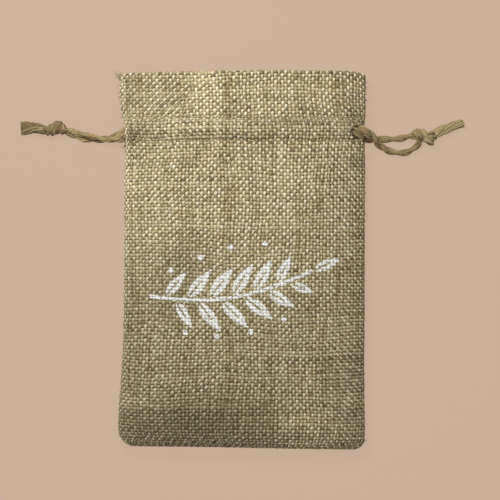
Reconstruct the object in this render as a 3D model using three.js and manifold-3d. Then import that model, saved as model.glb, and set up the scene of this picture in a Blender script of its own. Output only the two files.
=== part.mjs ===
// A small jute drawstring pouch, lying on its back on a table, empty and a little open.
// One strip of cloth is folded at the bottom and sewn up both sides. Both ends of the strip are turned
// in at the mouth as a deep hem, where two rows of stitching make a tunnel. Two strings run round the
// pouch through the tunnels of both walls. One has its ends knotted together at the left, the other at
// the right. Millimetres: X goes across, Y from the bottom to the mouth and Z up from the table.
import * as THREE from "three";
import { mergeVertices } from "three/addons/utils/BufferGeometryUtils.js";
import Module from "manifold-3d";

const wasm = await Module();
wasm.setup();

// Driving dimensions
const CLOTH = 1.0; // thickness of one layer of the woven jute
const TOP = 75.2; // the mouth's fold, above the pouch's middle
const BOTTOM = -75.5; // the bottom fold
const BOTTOM_ROUND = 13; // length over which the walls close to the bottom fold
const CORNER_LEFT = 7; // the outline's corner radii at the bottom
const CORNER_RIGHT = 4.5;
const HEM_EDGE = 43.8; // raw edge of the hem, inside
const LOWER_ROW = 47.6; // the two rows of stitching
const UPPER_ROW = 57.0;
const TUNNEL_MIDDLE = (LOWER_ROW + UPPER_ROW) / 2;
const TUNNEL_HALF = (UPPER_ROW - LOWER_ROW) / 2;
const TUNNEL_DEPTH = 2.7; // room for the strings between a tunnel's two layers
const SLIT = 5; // how far each side is left open at the tunnels
const SLIT_LIP = 8.2; // height over the table of the left slit's upper lip
const STRING = 2.2; // diameter of the two-ply twine
const PLY_DEPTH = 0.14; // depth of the groove between its plies, as a share of its radius
const LAY = 8; // length of one turn of its plies
const UPPER_LANE = 54.0; // where the strings lie in the tunnels
const LOWER_LANE = 51.1;
const GAP = 0.3; // between pieces that touch
const RIM_ROUND = 0.5; // rounding of the mouth's fold
const SMOOTHED = 0.03; // steps in the cloth that are smaller than this are smoothed away

// The left and right edges of the pouch, from the bottom fold up to the mouth
const EDGES = [
  { y: -76, left: -49.9, right: 49.3 },
  { y: -60, left: -49.5, right: 49.1 },
  { y: -45, left: -48.4, right: 48.9 },
  { y: -25, left: -47.5, right: 49.0 },
  { y: 8, left: -46.8, right: 49.1 },
  { y: 36, left: -46.7, right: 49.3 },
  { y: 45, left: -45.9, right: 49.1 },
  { y: 52, left: -46.2, right: 48.9 },
  { y: 58, left: -47.4, right: 49.4 },
  { y: 64, left: -48.3, right: 49.7 },
  { y: 76, left: -48.8, right: 49.8 },
];

// How far the mouth and the bottom fold wander from straight
const RIMS = [
  { x: -50, mouth: -1.9, fold: 0.7 },
  { x: -46, mouth: -0.8, fold: 0.7 },
  { x: -36, mouth: -0.4, fold: 0.6 },
  { x: -18, mouth: 0.1, fold: 0.4 },
  { x: 10, mouth: 0.6, fold: -0.1 },
  { x: 38, mouth: 0.5, fold: -0.6 },
  { x: 45, mouth: 0.0, fold: -0.6 },
  { x: 50, mouth: -1.3, fold: -0.4 },
];

// Heights over the table in the pouch's middle, of the front wall, the back wall and the side edges.
// The larger square is, the squarer the section's edges are.
const HEIGHTS = [
  { y: -76, front: 12.4, back: 0, side: 5.2, square: 4.2 },
  { y: -50, front: 13.4, back: 0, side: 5.4, square: 4.4 },
  { y: -10, front: 13.8, back: 0, side: 5.6, square: 4.6 },
  { y: 25, front: 13.2, back: 0, side: 5.8, square: 5 },
  { y: 40, front: 12.6, back: 0.2, side: 6.2, square: 7 },
  { y: 47, front: 12.8, back: 1.3, side: 6.6, square: 11 },
  { y: 52, front: 13.2, back: 1.4, side: 6.8, square: 13 },
  { y: 57, front: 12.7, back: 1.3, side: 6.6, square: 11 },
  { y: 64, front: 11.8, back: 0.9, side: 6.2, square: 7 },
  { y: 76, front: 12.2, back: 0.6, side: 6.0, square: 6 },
];

// Soft ridges, and troughs where rise is negative: the middle, the reach to both sides and along the
// fold's own line, that line's angle from the X axis in degrees, and the height
const FRONT_FOLDS = [
  { x: -10, y: 67, reach: 6, along: 15, angle: 84, rise: 1.1 },
  { x: -25, y: 70, reach: 5, along: 12, angle: 100, rise: -0.8 },
  { x: 2, y: 66, reach: 4, along: 12, angle: 88, rise: -0.7 },
  { x: 13, y: 68, reach: 5, along: 14, angle: 95, rise: 0.7 },
  { x: 31, y: 66, reach: 6, along: 12, angle: 92, rise: -0.6 },
  { x: -38, y: 64, reach: 5, along: 10, angle: 65, rise: 0.6 },
  { x: -24, y: 42.5, reach: 3, along: 6, angle: 80, rise: 0.9 },
  { x: -8, y: 42.5, reach: 2.8, along: 6, angle: 95, rise: 0.8 },
  { x: 4, y: 42.5, reach: 2.8, along: 7, angle: 100, rise: 0.9 },
  { x: 26, y: 42.5, reach: 3.2, along: 6, angle: 85, rise: 0.8 },
  { x: -16, y: 40, reach: 3, along: 8, angle: 55, rise: -0.9 },
  { x: -40, y: 40, reach: 3, along: 8, angle: 20, rise: -0.7 },
  { x: 41, y: 38, reach: 4, along: 12, angle: 110, rise: -0.7 },
  { x: -34, y: 20, reach: 8, along: 26, angle: 80, rise: 0.6 },
  { x: -24, y: -8, reach: 9, along: 12, angle: 75, rise: -0.9 },
  { x: 20, y: 6, reach: 12, along: 20, angle: 60, rise: 0.4 },
  { x: -26, y: -46, reach: 2.6, along: 20, angle: 2, rise: -0.5 },
  { x: 20, y: -44, reach: 5, along: 16, angle: 12, rise: 0.6 },
  { x: 41, y: -48, reach: 5, along: 12, angle: 60, rise: -1.0 },
  { x: 25, y: -61, reach: 4, along: 13, angle: -8, rise: 0.9 },
  { x: -42, y: -54, reach: 4, along: 8, angle: 40, rise: 0.5 },
  { x: -8, y: -62, reach: 7, along: 24, angle: 0, rise: -0.6 },
];
const BACK_FOLDS = [
  { x: -33, y: -58, reach: 6, along: 15, angle: 55, rise: 0.9 },
  { x: 36, y: -56, reach: 6, along: 14, angle: 125, rise: 0.8 },
  { x: 30, y: 30, reach: 5, along: 12, angle: 75, rise: 0.7 },
  { x: -22, y: 32, reach: 4, along: 10, angle: 100, rise: 0.6 },
  { x: 8, y: 68, reach: 5, along: 10, angle: 88, rise: 0.7 },
  { x: -30, y: 68, reach: 5, along: 10, angle: 95, rise: 0.6 },
];
const RESTED = 0.12; // the back wall's folds are pressed this much flatter where it lies

// Levels of the sections, and the number of steps across each wall
const FOLD_SHARES = [0.02, 0.08, 0.18, 0.33, 0.52, 0.76, 1];
const BODY_LEVELS = [-55, -50, -46, -42, -34, -25, -15, -5, 5, 15, 23, 29, 34, 38.5, 42];
const HEM_LEVELS = [44, 46, 47.5, 48.1, 49, 50.3, 52.3, 54.3, 55.6, 56.5, 57.1, 59, 62, 66, 70, 73];
const STEPS = 21;
const TUNNEL_STEPS = 30;

// The strings outside the slits, from the knots to the tunnels and back: the points that each follows
const LEFT_FROM_KNOT = [
  { x: -69.3, y: 51.0, z: 2.0 },
  { x: -67.6, y: 50.3, z: 1.4 },
  { x: -65.2, y: 49.4, z: 1.15 },
  { x: -62.0, y: 48.9, z: 1.15 },
  { x: -58.5, y: 48.8, z: 1.15 },
  { x: -55.0, y: 49.0, z: 1.15 },
  { x: -51.8, y: 49.9, z: 1.4 },
  { x: -49.0, y: 51.7, z: 2.0 },
  { x: -46.2, y: 53.2, z: 2.4 },
  { x: -43.2, y: 54.0, z: 2.4 },
];
const LEFT_TO_KNOT = [
  { x: -43.3, y: 50.5, z: 9.3 },
  { x: -45.2, y: 49.9, z: 7.5 },
  { x: -47.4, y: 49.4, z: 5.9 },
  { x: -50.0, y: 48.9, z: 4.6 },
  { x: -53.0, y: 48.7, z: 3.9 },
  { x: -56.0, y: 49.0, z: 3.7 },
  { x: -59.0, y: 49.6, z: 3.6 },
  { x: -62.2, y: 50.4, z: 3.4 },
  { x: -65.2, y: 51.0, z: 3.2 },
  { x: -67.6, y: 51.6, z: 3.0 },
  { x: -69.3, y: 52.3, z: 3.0 },
];
const RIGHT_FROM_KNOT = [
  { x: 71.4, y: 47.0, z: 2.4 },
  { x: 70.4, y: 45.9, z: 1.7 },
  { x: 68.6, y: 44.5, z: 1.2 },
  { x: 66.2, y: 43.5, z: 1.15 },
  { x: 63.2, y: 43.5, z: 1.15 },
  { x: 60.2, y: 44.1, z: 1.25 },
  { x: 57.5, y: 45.2, z: 2.4 },
  { x: 55.2, y: 46.7, z: 4.1 },
  { x: 53.3, y: 48.5, z: 6.2 },
  { x: 51.4, y: 50.2, z: 8.2 },
  { x: 49.3, y: 51.6, z: 9.6 },
  { x: 46.6, y: 52.8, z: 10.4 },
];
const RIGHT_TO_KNOT = [
  { x: 45.0, y: 50.0, z: 2.6 },
  { x: 46.8, y: 49.5, z: 3.6 },
  { x: 48.6, y: 49.2, z: 4.4 },
  { x: 50.4, y: 49.1, z: 4.0 },
  { x: 52.4, y: 49.1, z: 2.8 },
  { x: 54.8, y: 49.0, z: 1.4 },
  { x: 58.4, y: 48.9, z: 1.15 },
  { x: 62.0, y: 49.0, z: 1.15 },
  { x: 64.6, y: 49.3, z: 1.5 },
  { x: 66.4, y: 49.7, z: 2.1 },
  { x: 67.7, y: 50.1, z: 2.6 },
];

// Where each string turns back in the far slit, from the first tunnel to the second
const LEFT_STRING_TURN = [
  { x: 45.8, y: 53.5, z: 2.7 },
  { x: 47.7, y: 52.1, z: 4.4 },
  { x: 48.8, y: 50.8, z: 6.6 },
  { x: 48.2, y: 49.6, z: 8.7 },
  { x: 45.8, y: 50.2, z: 10.4 },
];
const RIGHT_STRING_TURN = [
  { x: -44.0, y: 53.6, z: 8.6 },
  { x: -44.9, y: 53.0, z: 6.9 },
  { x: -44.9, y: 52.2, z: 4.8 },
  { x: -43.9, y: 51.4, z: 3.0 },
];
const HIDDEN_HALF = 42; // the strings lie within the tunnels up to here, on both sides of the middle
const STRAIGHT_HALF = 37; // and nearly straight up to here
const HIDDEN_STEP = 3; // steps along a string, inside the tunnels and outside
const OPEN_STEP = 1;

// Knots: turns of string around the pulled-tight core. Each turn is an oval loop that stands on edge:
// its middle, its angle from the Y axis in degrees, its half width and half height, and its thickness.
const LEFT_TURNS = [
  { x: -71.6, y: 52.6, z: 3.2, angle: 24, half: 2.1, tall: 2.0, thick: 2.0 },
  { x: -73.6, y: 53.0, z: 3.2, angle: 24, half: 2.4, tall: 2.1, thick: 2.1 },
  { x: -75.7, y: 52.5, z: 3.2, angle: 20, half: 2.3, tall: 2.1, thick: 2.1 },
  { x: -76.6, y: 52.1, z: 3.1, angle: -58, half: 3.0, tall: 1.9, thick: 2.1 },
];
const RIGHT_TURNS = [
  { x: 69.8, y: 50.0, z: 3.2, angle: 30, half: 1.9, tall: 2.0, thick: 1.9 },
  { x: 71.5, y: 50.1, z: 3.2, angle: 30, half: 2.1, tall: 2.1, thick: 1.9 },
  { x: 73.2, y: 49.8, z: 3.2, angle: 30, half: 2.2, tall: 2.1, thick: 1.9 },
  { x: 74.6, y: 48.6, z: 3.0, angle: 52, half: 2.7, tall: 1.9, thick: 2.0 },
  { x: 75.0, y: 49.6, z: 3.1, angle: -70, half: 2.4, tall: 1.8, thick: 1.9 },
];
const LEFT_LUMPS = [
  { x: -74.2, y: 52.5, z: 3.1, long: 4.4, wide: 2.5, tall: 2.5 },
  { x: -73.4, y: 55.1, z: 3.6, long: 1.2, wide: 1.2, tall: 1.2 },
];
const RIGHT_LUMPS = [
  { x: 72.6, y: 49.6, z: 3.1, long: 4.2, wide: 2.3, tall: 2.5 },
  { x: 75.0, y: 47.3, z: 2.6, long: 1.6, wide: 1.5, tall: 1.5 },
];

// Tails: the string's two ends past the knot, side by side, and the fibres that they fray into
const LEFT_TAIL = [
  { x: -79.2, y: 52.6, z: 2.3, half: 1.5, tall: 1.5 },
  { x: -81.4, y: 53.0, z: 2.2, half: 1.7, tall: 1.5 },
  { x: -83.6, y: 53.4, z: 1.9, half: 2.0, tall: 1.5 },
  { x: -85.2, y: 53.4, z: 1.7, half: 2.3, tall: 1.4 },
];
const RIGHT_TAIL = [
  { x: 77.9, y: 50.8, z: 2.2, half: 1.4, tall: 1.5 },
  { x: 79.8, y: 51.9, z: 2.1, half: 1.5, tall: 1.5 },
  { x: 82.2, y: 53.1, z: 1.8, half: 1.6, tall: 1.4 },
  { x: 84.8, y: 54.1, z: 1.6, half: 1.6, tall: 1.4 },
];
const FRAYS = {
  left: { fibres: 16, length: 3.9, spread: 1.35, thick: 0.62, bend: -0.2 },
  right: { fibres: 14, length: 4.3, spread: 1.12, thick: 0.56, bend: 0.5 },
};

// One column of a table at a place between its rows, on a smooth curve
function read(table, key, column, place) {
  const last = table.length - 1;
  const above = table.findIndex((row) => row[key] > place);
  const i = THREE.MathUtils.clamp(above < 0 ? last - 1 : above - 1, 0, last - 1);
  const at = (n) => table[THREE.MathUtils.clamp(n, 0, last)];
  const slope = (n) => (at(n + 1)[column] - at(n - 1)[column]) / (at(n + 1)[key] - at(n - 1)[key]);
  const span = at(i + 1)[key] - at(i)[key];
  const t = THREE.MathUtils.clamp((place - at(i)[key]) / span, 0, 1);
  return (
    at(i)[column] * (1 + 2 * t) * (1 - t) ** 2 +
    at(i + 1)[column] * t * t * (3 - 2 * t) +
    slope(i) * span * t * (1 - t) ** 2 -
    slope(i + 1) * span * t * t * (1 - t)
  );
}

// The sum of all folds at a place
function relief(folds, x, y) {
  return folds.reduce((sum, fold) => {
    const turn = THREE.MathUtils.degToRad(fold.angle);
    const along = (x - fold.x) * Math.cos(turn) + (y - fold.y) * Math.sin(turn);
    const aside = (y - fold.y) * Math.cos(turn) - (x - fold.x) * Math.sin(turn);
    return sum + fold.rise * Math.exp(-((along / fold.along) ** 2) - (aside / fold.reach) ** 2);
  }, 0);
}

// How far the walls have parted, from 0 at the bottom fold to 1 past its round
function parting(y) {
  const near = THREE.MathUtils.clamp((y - BOTTOM) / BOTTOM_ROUND, 0, 1);
  return Math.sqrt(1 - (1 - near) ** 2.2);
}

// How much a rounded bottom corner takes off the width
function cornered(y, radius) {
  const near = THREE.MathUtils.clamp((y - BOTTOM) / radius, 0, 1);
  return radius * (1 - Math.sqrt(1 - (1 - near) ** 2));
}

const leftEdge = (y) => read(EDGES, "y", "left", y) + cornered(y, CORNER_LEFT);
const rightEdge = (y) => read(EDGES, "y", "right", y) - cornered(y, CORNER_RIGHT);

// The room between a tunnel's layers
function tunnelDepth(y) {
  const off = Math.min(1, Math.abs(y - TUNNEL_MIDDLE) / TUNNEL_HALF);
  return TUNNEL_DEPTH * (1 - off ** 6);
}

// A wall's whole thickness: one layer, or the hem's two with the tunnel between them
const wall = (y) => (y < HEM_EDGE ? CLOTH : 2 * CLOTH + tunnelDepth(y));

// Outer heights of the front and back walls
function heights(x, y) {
  const [left, right] = [leftEdge(y), rightEdge(y)];
  const across = THREE.MathUtils.clamp((2 * x - left - right) / (right - left), -1, 1);
  const share = Math.sqrt(1 - Math.abs(across) ** read(HEIGHTS, "y", "square", y)) * parting(y);
  const laid = Math.min(1, 1.9 * share);
  const side = read(HEIGHTS, "y", "side", y);
  const bulge = tunnelDepth(y) / 2;
  const front = read(HEIGHTS, "y", "front", y) + bulge + relief(FRONT_FOLDS, x, y);
  const back = read(HEIGHTS, "y", "back", y) - bulge + relief(BACK_FOLDS, x, y) - RESTED;
  return {
    front: side + (front - side) * share,
    back: side - (side - Math.max(0, back)) * laid,
  };
}

// A level with the wander of the mouth and the bottom fold
function wandered(x, y) {
  const up = (y - BOTTOM) / (TOP - BOTTOM);
  const mouth = read(RIMS, "x", "mouth", x) * THREE.MathUtils.smoothstep(up, 0.89, 1);
  const fold = read(RIMS, "x", "fold", x) * THREE.MathUtils.smoothstep(1 - up, 0.8, 1);
  return y + mouth + fold;
}

// Places across the pouch from 0 to 1, closer together at the sides
const spaced = (steps) =>
  Array.from({ length: steps + 1 }, (_, k) => {
    const even = k / steps;
    return 0.4 * even + 0.6 * (0.5 - 0.5 * Math.cos(Math.PI * even));
  });
const ACROSS = spaced(STEPS);

// A ring of points round the outside of the pouch
function outerRing(y, lift = 0, pinch = 0) {
  const front = [];
  const back = [];
  ACROSS.forEach((share) => {
    const x = THREE.MathUtils.lerp(leftEdge(y), rightEdge(y), share);
    const outer = heights(x, y);
    const level = wandered(x, y) + lift;
    front.push(new THREE.Vector3(x, level, Math.max(outer.front - pinch, outer.back)));
    back.push(new THREE.Vector3(x, level, outer.back));
  });
  return [...front, ...back.slice(1, -1).reverse()];
}

// A ring of points round the inside of the walls
function innerRing(y, lift = 0) {
  const inset = Math.min(wall(y), 2 * CLOTH);
  const front = [];
  const back = [];
  ACROSS.forEach((share) => {
    const x = THREE.MathUtils.lerp(leftEdge(y) + inset, rightEdge(y) - inset, share);
    const outer = heights(x, y);
    const half = Math.max(0.25, (outer.front - outer.back) / 2 - wall(y));
    const middle = (outer.front + outer.back) / 2;
    const level = wandered(x, y) + lift;
    front.push(new THREE.Vector3(x, level, middle + half));
    back.push(new THREE.Vector3(x, level, middle - half));
  });
  return [...front, ...back.reverse()];
}

// A closed mesh through rings of points, with both ends capped, or closed on itself as a loop
function skin(rings, loop = false) {
  const size = rings[0].length;
  const places = rings.flatMap((points) => points.flatMap((p) => p.toArray()));
  const index = [];
  for (let i = 0; i < rings.length - (loop ? 0 : 1); i++) {
    const next = (i + 1) % rings.length;
    for (let k = 0; k < size; k++) {
      const turn = (k + 1) % size;
      index.push(i * size + k, i * size + turn, next * size + turn);
      index.push(i * size + k, next * size + turn, next * size + k);
    }
  }
  const cap = (ring, flip) => {
    const middle = places.length / 3;
    const mean = new THREE.Vector3();
    rings[ring].forEach((p) => mean.addScaledVector(p, 1 / size));
    places.push(...mean.toArray());
    for (let k = 0; k < size; k++) {
      const pair = [ring * size + k, ring * size + ((k + 1) % size)];
      index.push(middle, pair[flip ? 1 : 0], pair[flip ? 0 : 1]);
    }
  };
  if (!loop) {
    cap(0, true);
    cap(rings.length - 1, false);
  }
  return new THREE.BufferGeometry()
    .setAttribute("position", new THREE.Float32BufferAttribute(places, 3))
    .setIndex(index);
}

// A solid for cutting and joining, with its faces turned outwards
function solid(geometry) {
  const bare = geometry.clone();
  bare.deleteAttribute("normal");
  bare.deleteAttribute("uv");
  const merged = mergeVertices(bare, 1e-4);
  const vertProperties = new Float32Array(merged.attributes.position.array);
  const triVerts = new Uint32Array(merged.index.array);
  const made = new wasm.Manifold(new wasm.Mesh({ numProp: 3, vertProperties, triVerts }));
  if (made.volume() > 0) return made;
  for (let i = 0; i < triVerts.length; i += 3) {
    [triVerts[i], triVerts[i + 1]] = [triVerts[i + 1], triVerts[i]];
  }
  return new wasm.Manifold(new wasm.Mesh({ numProp: 3, vertProperties, triVerts }));
}

function geometryOf(made) {
  const mesh = made.getMesh();
  return new THREE.BufferGeometry()
    .setAttribute("position", new THREE.BufferAttribute(new Float32Array(mesh.vertProperties), 3))
    .setIndex(new THREE.BufferAttribute(new Uint32Array(mesh.triVerts), 1));
}

// The room of a tunnel, between the layers of the front or the back hem
function tunnel(isFront) {
  const levels = HEM_LEVELS.filter((y) => y > LOWER_ROW && y < UPPER_ROW);
  const rings = [];
  spaced(TUNNEL_STEPS).forEach((share) => {
    const x = THREE.MathUtils.lerp(leftEdge(TUNNEL_MIDDLE) + 1.7, rightEdge(TUNNEL_MIDDLE) - 1.7, share);
    const low = [];
    const high = [];
    levels.forEach((y) => {
      const outer = heights(x, y);
      const near = isFront ? outer.front - CLOTH : outer.back + CLOTH;
      const far = near + (isFront ? -1 : 1) * tunnelDepth(y);
      low.push(new THREE.Vector3(x, y, Math.min(near, far)));
      high.push(new THREE.Vector3(x, y, Math.max(near, far)));
    });
    rings.push([...low, ...high.reverse()]);
  });
  return solid(skin(rings));
}

// The opening at a side edge, through which the strings leave. Under the left one's lip the front's
// outer layer reaches the edge. The right one is open to the front, over the back's outer layer.
function slit(isLeft) {
  const [lowY, highY] = [LOWER_ROW + GAP, UPPER_ROW - GAP];
  const edge = isLeft ? leftEdge(TUNNEL_MIDDLE) : rightEdge(TUNNEL_MIDDLE);
  const inward = isLeft ? 1 : -1;
  const rings = [SLIT, SLIT * 0.6, SLIT * 0.35, SLIT * 0.15, -2].map((depth) => {
    const x = edge + inward * depth;
    const top = isLeft ? Math.max(SLIT_LIP, heights(x, TUNNEL_MIDDLE).front - CLOTH) : 20;
    return [
      new THREE.Vector3(x, lowY, CLOTH),
      new THREE.Vector3(x, highY, CLOTH),
      new THREE.Vector3(x, highY, top),
      new THREE.Vector3(x, lowY, top),
    ];
  });
  return solid(skin(rings));
}

// The pouch's cloth: outer skin less the room inside, the tunnels and the slits
function pouchCloth() {
  const bottomLevels = FOLD_SHARES.map((share) => BOTTOM + share * BOTTOM_ROUND);
  const outer = [...bottomLevels, ...BODY_LEVELS, ...HEM_LEVELS].map((y) => outerRing(y));
  outer.push(outerRing(TOP - RIM_ROUND));
  outer.push(outerRing(TOP - RIM_ROUND, RIM_ROUND, RIM_ROUND));
  const insideBottom = bottomLevels.slice(2).map((y) => innerRing(y));
  const inner = [...insideBottom, ...BODY_LEVELS.map((y) => innerRing(y))];
  inner.push(innerRing(HEM_EDGE - 0.01), innerRing(HEM_EDGE));
  inner.push(...HEM_LEVELS.map((y) => innerRing(y)));
  inner.push(innerRing(TOP), innerRing(TOP, 4));
  return solid(skin(outer))
    .subtract(solid(skin(inner)))
    .subtract(tunnel(true))
    .subtract(tunnel(false))
    .subtract(slit(true))
    .subtract(slit(false))
    .simplify(SMOOTHED);
}

// Points across a tunnel, from one side to the other in the given direction
function lane(isFront, y, direction) {
  const points = [];
  for (let x = -HIDDEN_HALF; x <= HIDDEN_HALF; x += HIDDEN_STEP) {
    const outer = heights(x, y);
    const sunk = CLOTH + tunnelDepth(y) / 2;
    points.push({ x, y, z: isFront ? outer.front - sunk : outer.back + sunk });
  }
  return direction > 0 ? points : points.reverse();
}

// The left string goes out through the back tunnel and comes home through the front one. The right
// string goes out through the front tunnel and comes home through the back one.
const LEFT_ROUTE = [
  ...LEFT_FROM_KNOT,
  ...lane(false, UPPER_LANE, 1),
  ...LEFT_STRING_TURN,
  ...lane(true, LOWER_LANE, -1),
  ...LEFT_TO_KNOT,
];
const RIGHT_ROUTE = [
  ...RIGHT_FROM_KNOT,
  ...lane(true, UPPER_LANE, -1),
  ...RIGHT_STRING_TURN,
  ...lane(false, LOWER_LANE, 1),
  ...RIGHT_TO_KNOT,
];

const vectors = (rows) => rows.map((row) => new THREE.Vector3(row.x, row.y, row.z));

// Rings of points along a route. The section gives the radius at an angle and a distance.
function sweep(points, sides, section, loop = false) {
  const count = points.length;
  const tangents = points.map((_, i) => {
    const before = points[loop ? (i + count - 1) % count : Math.max(0, i - 1)];
    const after = points[loop ? (i + 1) % count : Math.min(count - 1, i + 1)];
    return after.clone().sub(before).normalize();
  });
  let across = new THREE.Vector3(0, 0, 1);
  let distance = 0;
  return points.map((point, i) => {
    across = across.clone().addScaledVector(tangents[i], -across.dot(tangents[i])).normalize();
    const aside = new THREE.Vector3().crossVectors(tangents[i], across);
    if (i > 0) distance += point.distanceTo(points[i - 1]);
    return Array.from({ length: sides }, (_, k) => {
      const angle = (2 * Math.PI * k) / sides;
      const radius = section(angle, distance, point);
      return point
        .clone()
        .addScaledVector(across, radius * Math.cos(angle))
        .addScaledVector(aside, radius * Math.sin(angle));
    });
  });
}

// Points along a route, close together outside the tunnels and further apart in them
function alongString(route) {
  const curve = new THREE.CatmullRomCurve3(vectors(route), false, "centripetal");
  curve.arcLengthDivisions = 2000;
  const length = curve.getLength();
  const points = [];
  for (let at = 0; at < length - OPEN_STEP / 2; ) {
    const point = curve.getPointAt(at / length);
    points.push(point);
    at += Math.abs(point.x) < STRAIGHT_HALF ? HIDDEN_STEP : OPEN_STEP;
  }
  points.push(curve.getPointAt(1));
  return points;
}

// Two plies twisted together outside the tunnels, a plain round string inside them
function string(points, sides = 8) {
  return sweep(points, sides, (angle, distance, point) => {
    const groove = Math.abs(point.x) < HIDDEN_HALF ? 0 : PLY_DEPTH / 2;
    const turned = angle - (2 * Math.PI * distance) / LAY;
    return (STRING / 2) * (1 - PLY_DEPTH / 2 + groove * Math.cos(2 * turned));
  });
}

// The room that a string's end or a tail takes in its knot
function socket(points, reach) {
  return solid(skin(sweep(points, 8, () => reach)));
}

// One turn of string in a knot
function knotTurn(row) {
  const swing = THREE.MathUtils.degToRad(row.angle);
  const points = Array.from({ length: 11 }, (_, k) => {
    const angle = (2 * Math.PI * k) / 11;
    const off = row.half * Math.cos(angle);
    return new THREE.Vector3(
      row.x + off * Math.sin(swing),
      row.y + off * Math.cos(swing),
      row.z + row.tall * Math.sin(angle),
    );
  });
  const middle = new THREE.Vector3(row.x, row.y, row.z);
  const axis = new THREE.Vector3(Math.cos(swing), -Math.sin(swing), 0);
  const rings = points.map((point) => {
    const out = point.clone().sub(middle).normalize();
    return Array.from({ length: 6 }, (_, k) => {
      const angle = (2 * Math.PI * k) / 6;
      return point
        .clone()
        .addScaledVector(out, (row.thick / 2) * Math.cos(angle))
        .addScaledVector(axis, (row.thick / 2) * Math.sin(angle));
    });
  });
  return solid(skin(rings, true));
}

function lump(row) {
  const ball = new THREE.SphereGeometry(1, 10, 7).scale(row.long, row.wide, row.tall);
  return solid(ball.translate(row.x, row.y, row.z));
}

function knot(turns, lumps, sockets) {
  const joined = [...turns.map(knotTurn), ...lumps.map(lump)].reduce((sum, one) => sum.add(one));
  return sockets.reduce((rest, one) => rest.subtract(one), joined);
}

// The two string ends past a knot, side by side, with a groove between them
function tailRoot(rows) {
  const points = vectors(rows);
  const rings = points.map((point, i) => {
    const ahead = points[Math.min(i + 1, points.length - 1)];
    const behind = points[Math.max(i - 1, 0)];
    const along = ahead.clone().sub(behind).setZ(0).normalize();
    const aside = new THREE.Vector3(-along.y, along.x, 0);
    return Array.from({ length: 12 }, (_, k) => {
      const angle = (2 * Math.PI * k) / 12;
      const groove = 1 - 0.18 * Math.abs(Math.sin(angle)) ** 4;
      return point
        .clone()
        .addScaledVector(aside, rows[i].half * Math.cos(angle))
        .add(new THREE.Vector3(0, 0, rows[i].tall * groove * Math.sin(angle)));
    });
  });
  return solid(skin(rings));
}

// One loose fibre bundle: four-sided, tapering, from inside the root's end to its own tip
function fibre(from, to, thick) {
  const points = [0, 0.5, 1].map((t) => {
    const sag = new THREE.Vector3(0, 0, 0.35 * Math.sin(Math.PI * t));
    return from.clone().lerp(to, t).add(sag);
  });
  const sizes = [1, 0.9, 0.45];
  const rings = sweep(points, 4, () => thick / 2);
  return solid(
    skin(rings.map((ring, i) => ring.map((p) => p.clone().lerp(points[i], 1 - sizes[i])))),
  );
}

// The frayed end: the root and its fibres, fused where they leave it
function tail(rows, fray) {
  const end = rows[rows.length - 1];
  const before = rows[rows.length - 2];
  const along = new THREE.Vector3(end.x - before.x, end.y - before.y, 0).normalize();
  const aside = new THREE.Vector3(-along.y, along.x, 0);
  const fibres = Array.from({ length: fray.fibres }, (_, k) => {
    const share = (2 * k) / (fray.fibres - 1) - 1;
    const layer = (k % 3) - 1;
    const room = end.tall * Math.sqrt(1 - (0.78 * share) ** 2);
    const from = new THREE.Vector3(end.x, end.y, end.z + 0.65 * layer * room)
      .addScaledVector(along, -0.8)
      .addScaledVector(aside, share * end.half * 0.78);
    const reach = fray.length * (1 - 0.12 * ((k * 5) % 4) * 0.5 - 0.08 * share * share);
    const tip = new THREE.Vector3(end.x, end.y, 1.25 + 0.9 * layer)
      .addScaledVector(along, reach)
      .addScaledVector(aside, share * end.half * fray.spread + fray.bend * 0.5);
    return fibre(from, tip, fray.thick);
  });
  return fibres.reduce((sum, one) => sum.add(one), tailRoot(rows));
}

const leftPath = alongString(LEFT_ROUTE);
const rightPath = alongString(RIGHT_ROUTE);

// Sockets for both ends of a string and for its tail, each with the gap around and past the end
function sockets(path, rows) {
  const near = (STRING / 2 + GAP) / Math.cos(Math.PI / 8);
  const past = (end, before) => {
    const step = end.clone().sub(before).normalize();
    return [end.clone().addScaledVector(step, -4), end.clone().addScaledVector(step, GAP)];
  };
  const last = path.length - 1;
  const tailPoints = vectors(rows);
  const back = tailPoints[0].clone().sub(tailPoints[1]).normalize();
  const tailRoom = [tailPoints[0].clone().addScaledVector(back, GAP), tailPoints[2]];
  return [
    socket(past(path[0], path[2]), near),
    socket(past(path[last], path[last - 2]), near),
    socket(tailRoom, (rows[2].half + GAP) / Math.cos(Math.PI / 8)),
  ];
}

const JUTE = { color: 0xa89a70, roughness: 0.95, metalness: 0 };
const TWINE = { color: 0x96825a, roughness: 0.95, metalness: 0 };
const FIBRE = { color: 0xa08c5f, roughness: 1, metalness: 0 };

function named(name, geometry, finish) {
  const mesh = new THREE.Mesh(geometry, new THREE.MeshStandardMaterial(finish));
  mesh.name = name;
  return mesh;
}

const pouch = new THREE.Group();
pouch.add(
  named("pouch_cloth", geometryOf(pouchCloth()), JUTE),
  named("string_left", skin(string(leftPath)), TWINE),
  named("string_right", skin(string(rightPath)), TWINE),
  named("knot_left", geometryOf(knot(LEFT_TURNS, LEFT_LUMPS, sockets(leftPath, LEFT_TAIL))), TWINE),
  named("knot_right", geometryOf(knot(RIGHT_TURNS, RIGHT_LUMPS, sockets(rightPath, RIGHT_TAIL))), TWINE),
  named("tail_left", geometryOf(tail(LEFT_TAIL, FRAYS.left)), FIBRE),
  named("tail_right", geometryOf(tail(RIGHT_TAIL, FRAYS.right)), FIBRE),
);

export default pouch;
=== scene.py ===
# A small jute drawstring pouch that lies on its back on a table, empty and a little open.
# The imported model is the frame. One thin sheet carries the cloth, and over it the cloth is woven here
# yarn by yarn. The strings, knots and frayed ends are laid up from twisted plies and fibres.
# X goes across, Y from the bottom to the mouth and Z up from the table. Metres, and millimetres in tables.
import math

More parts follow.
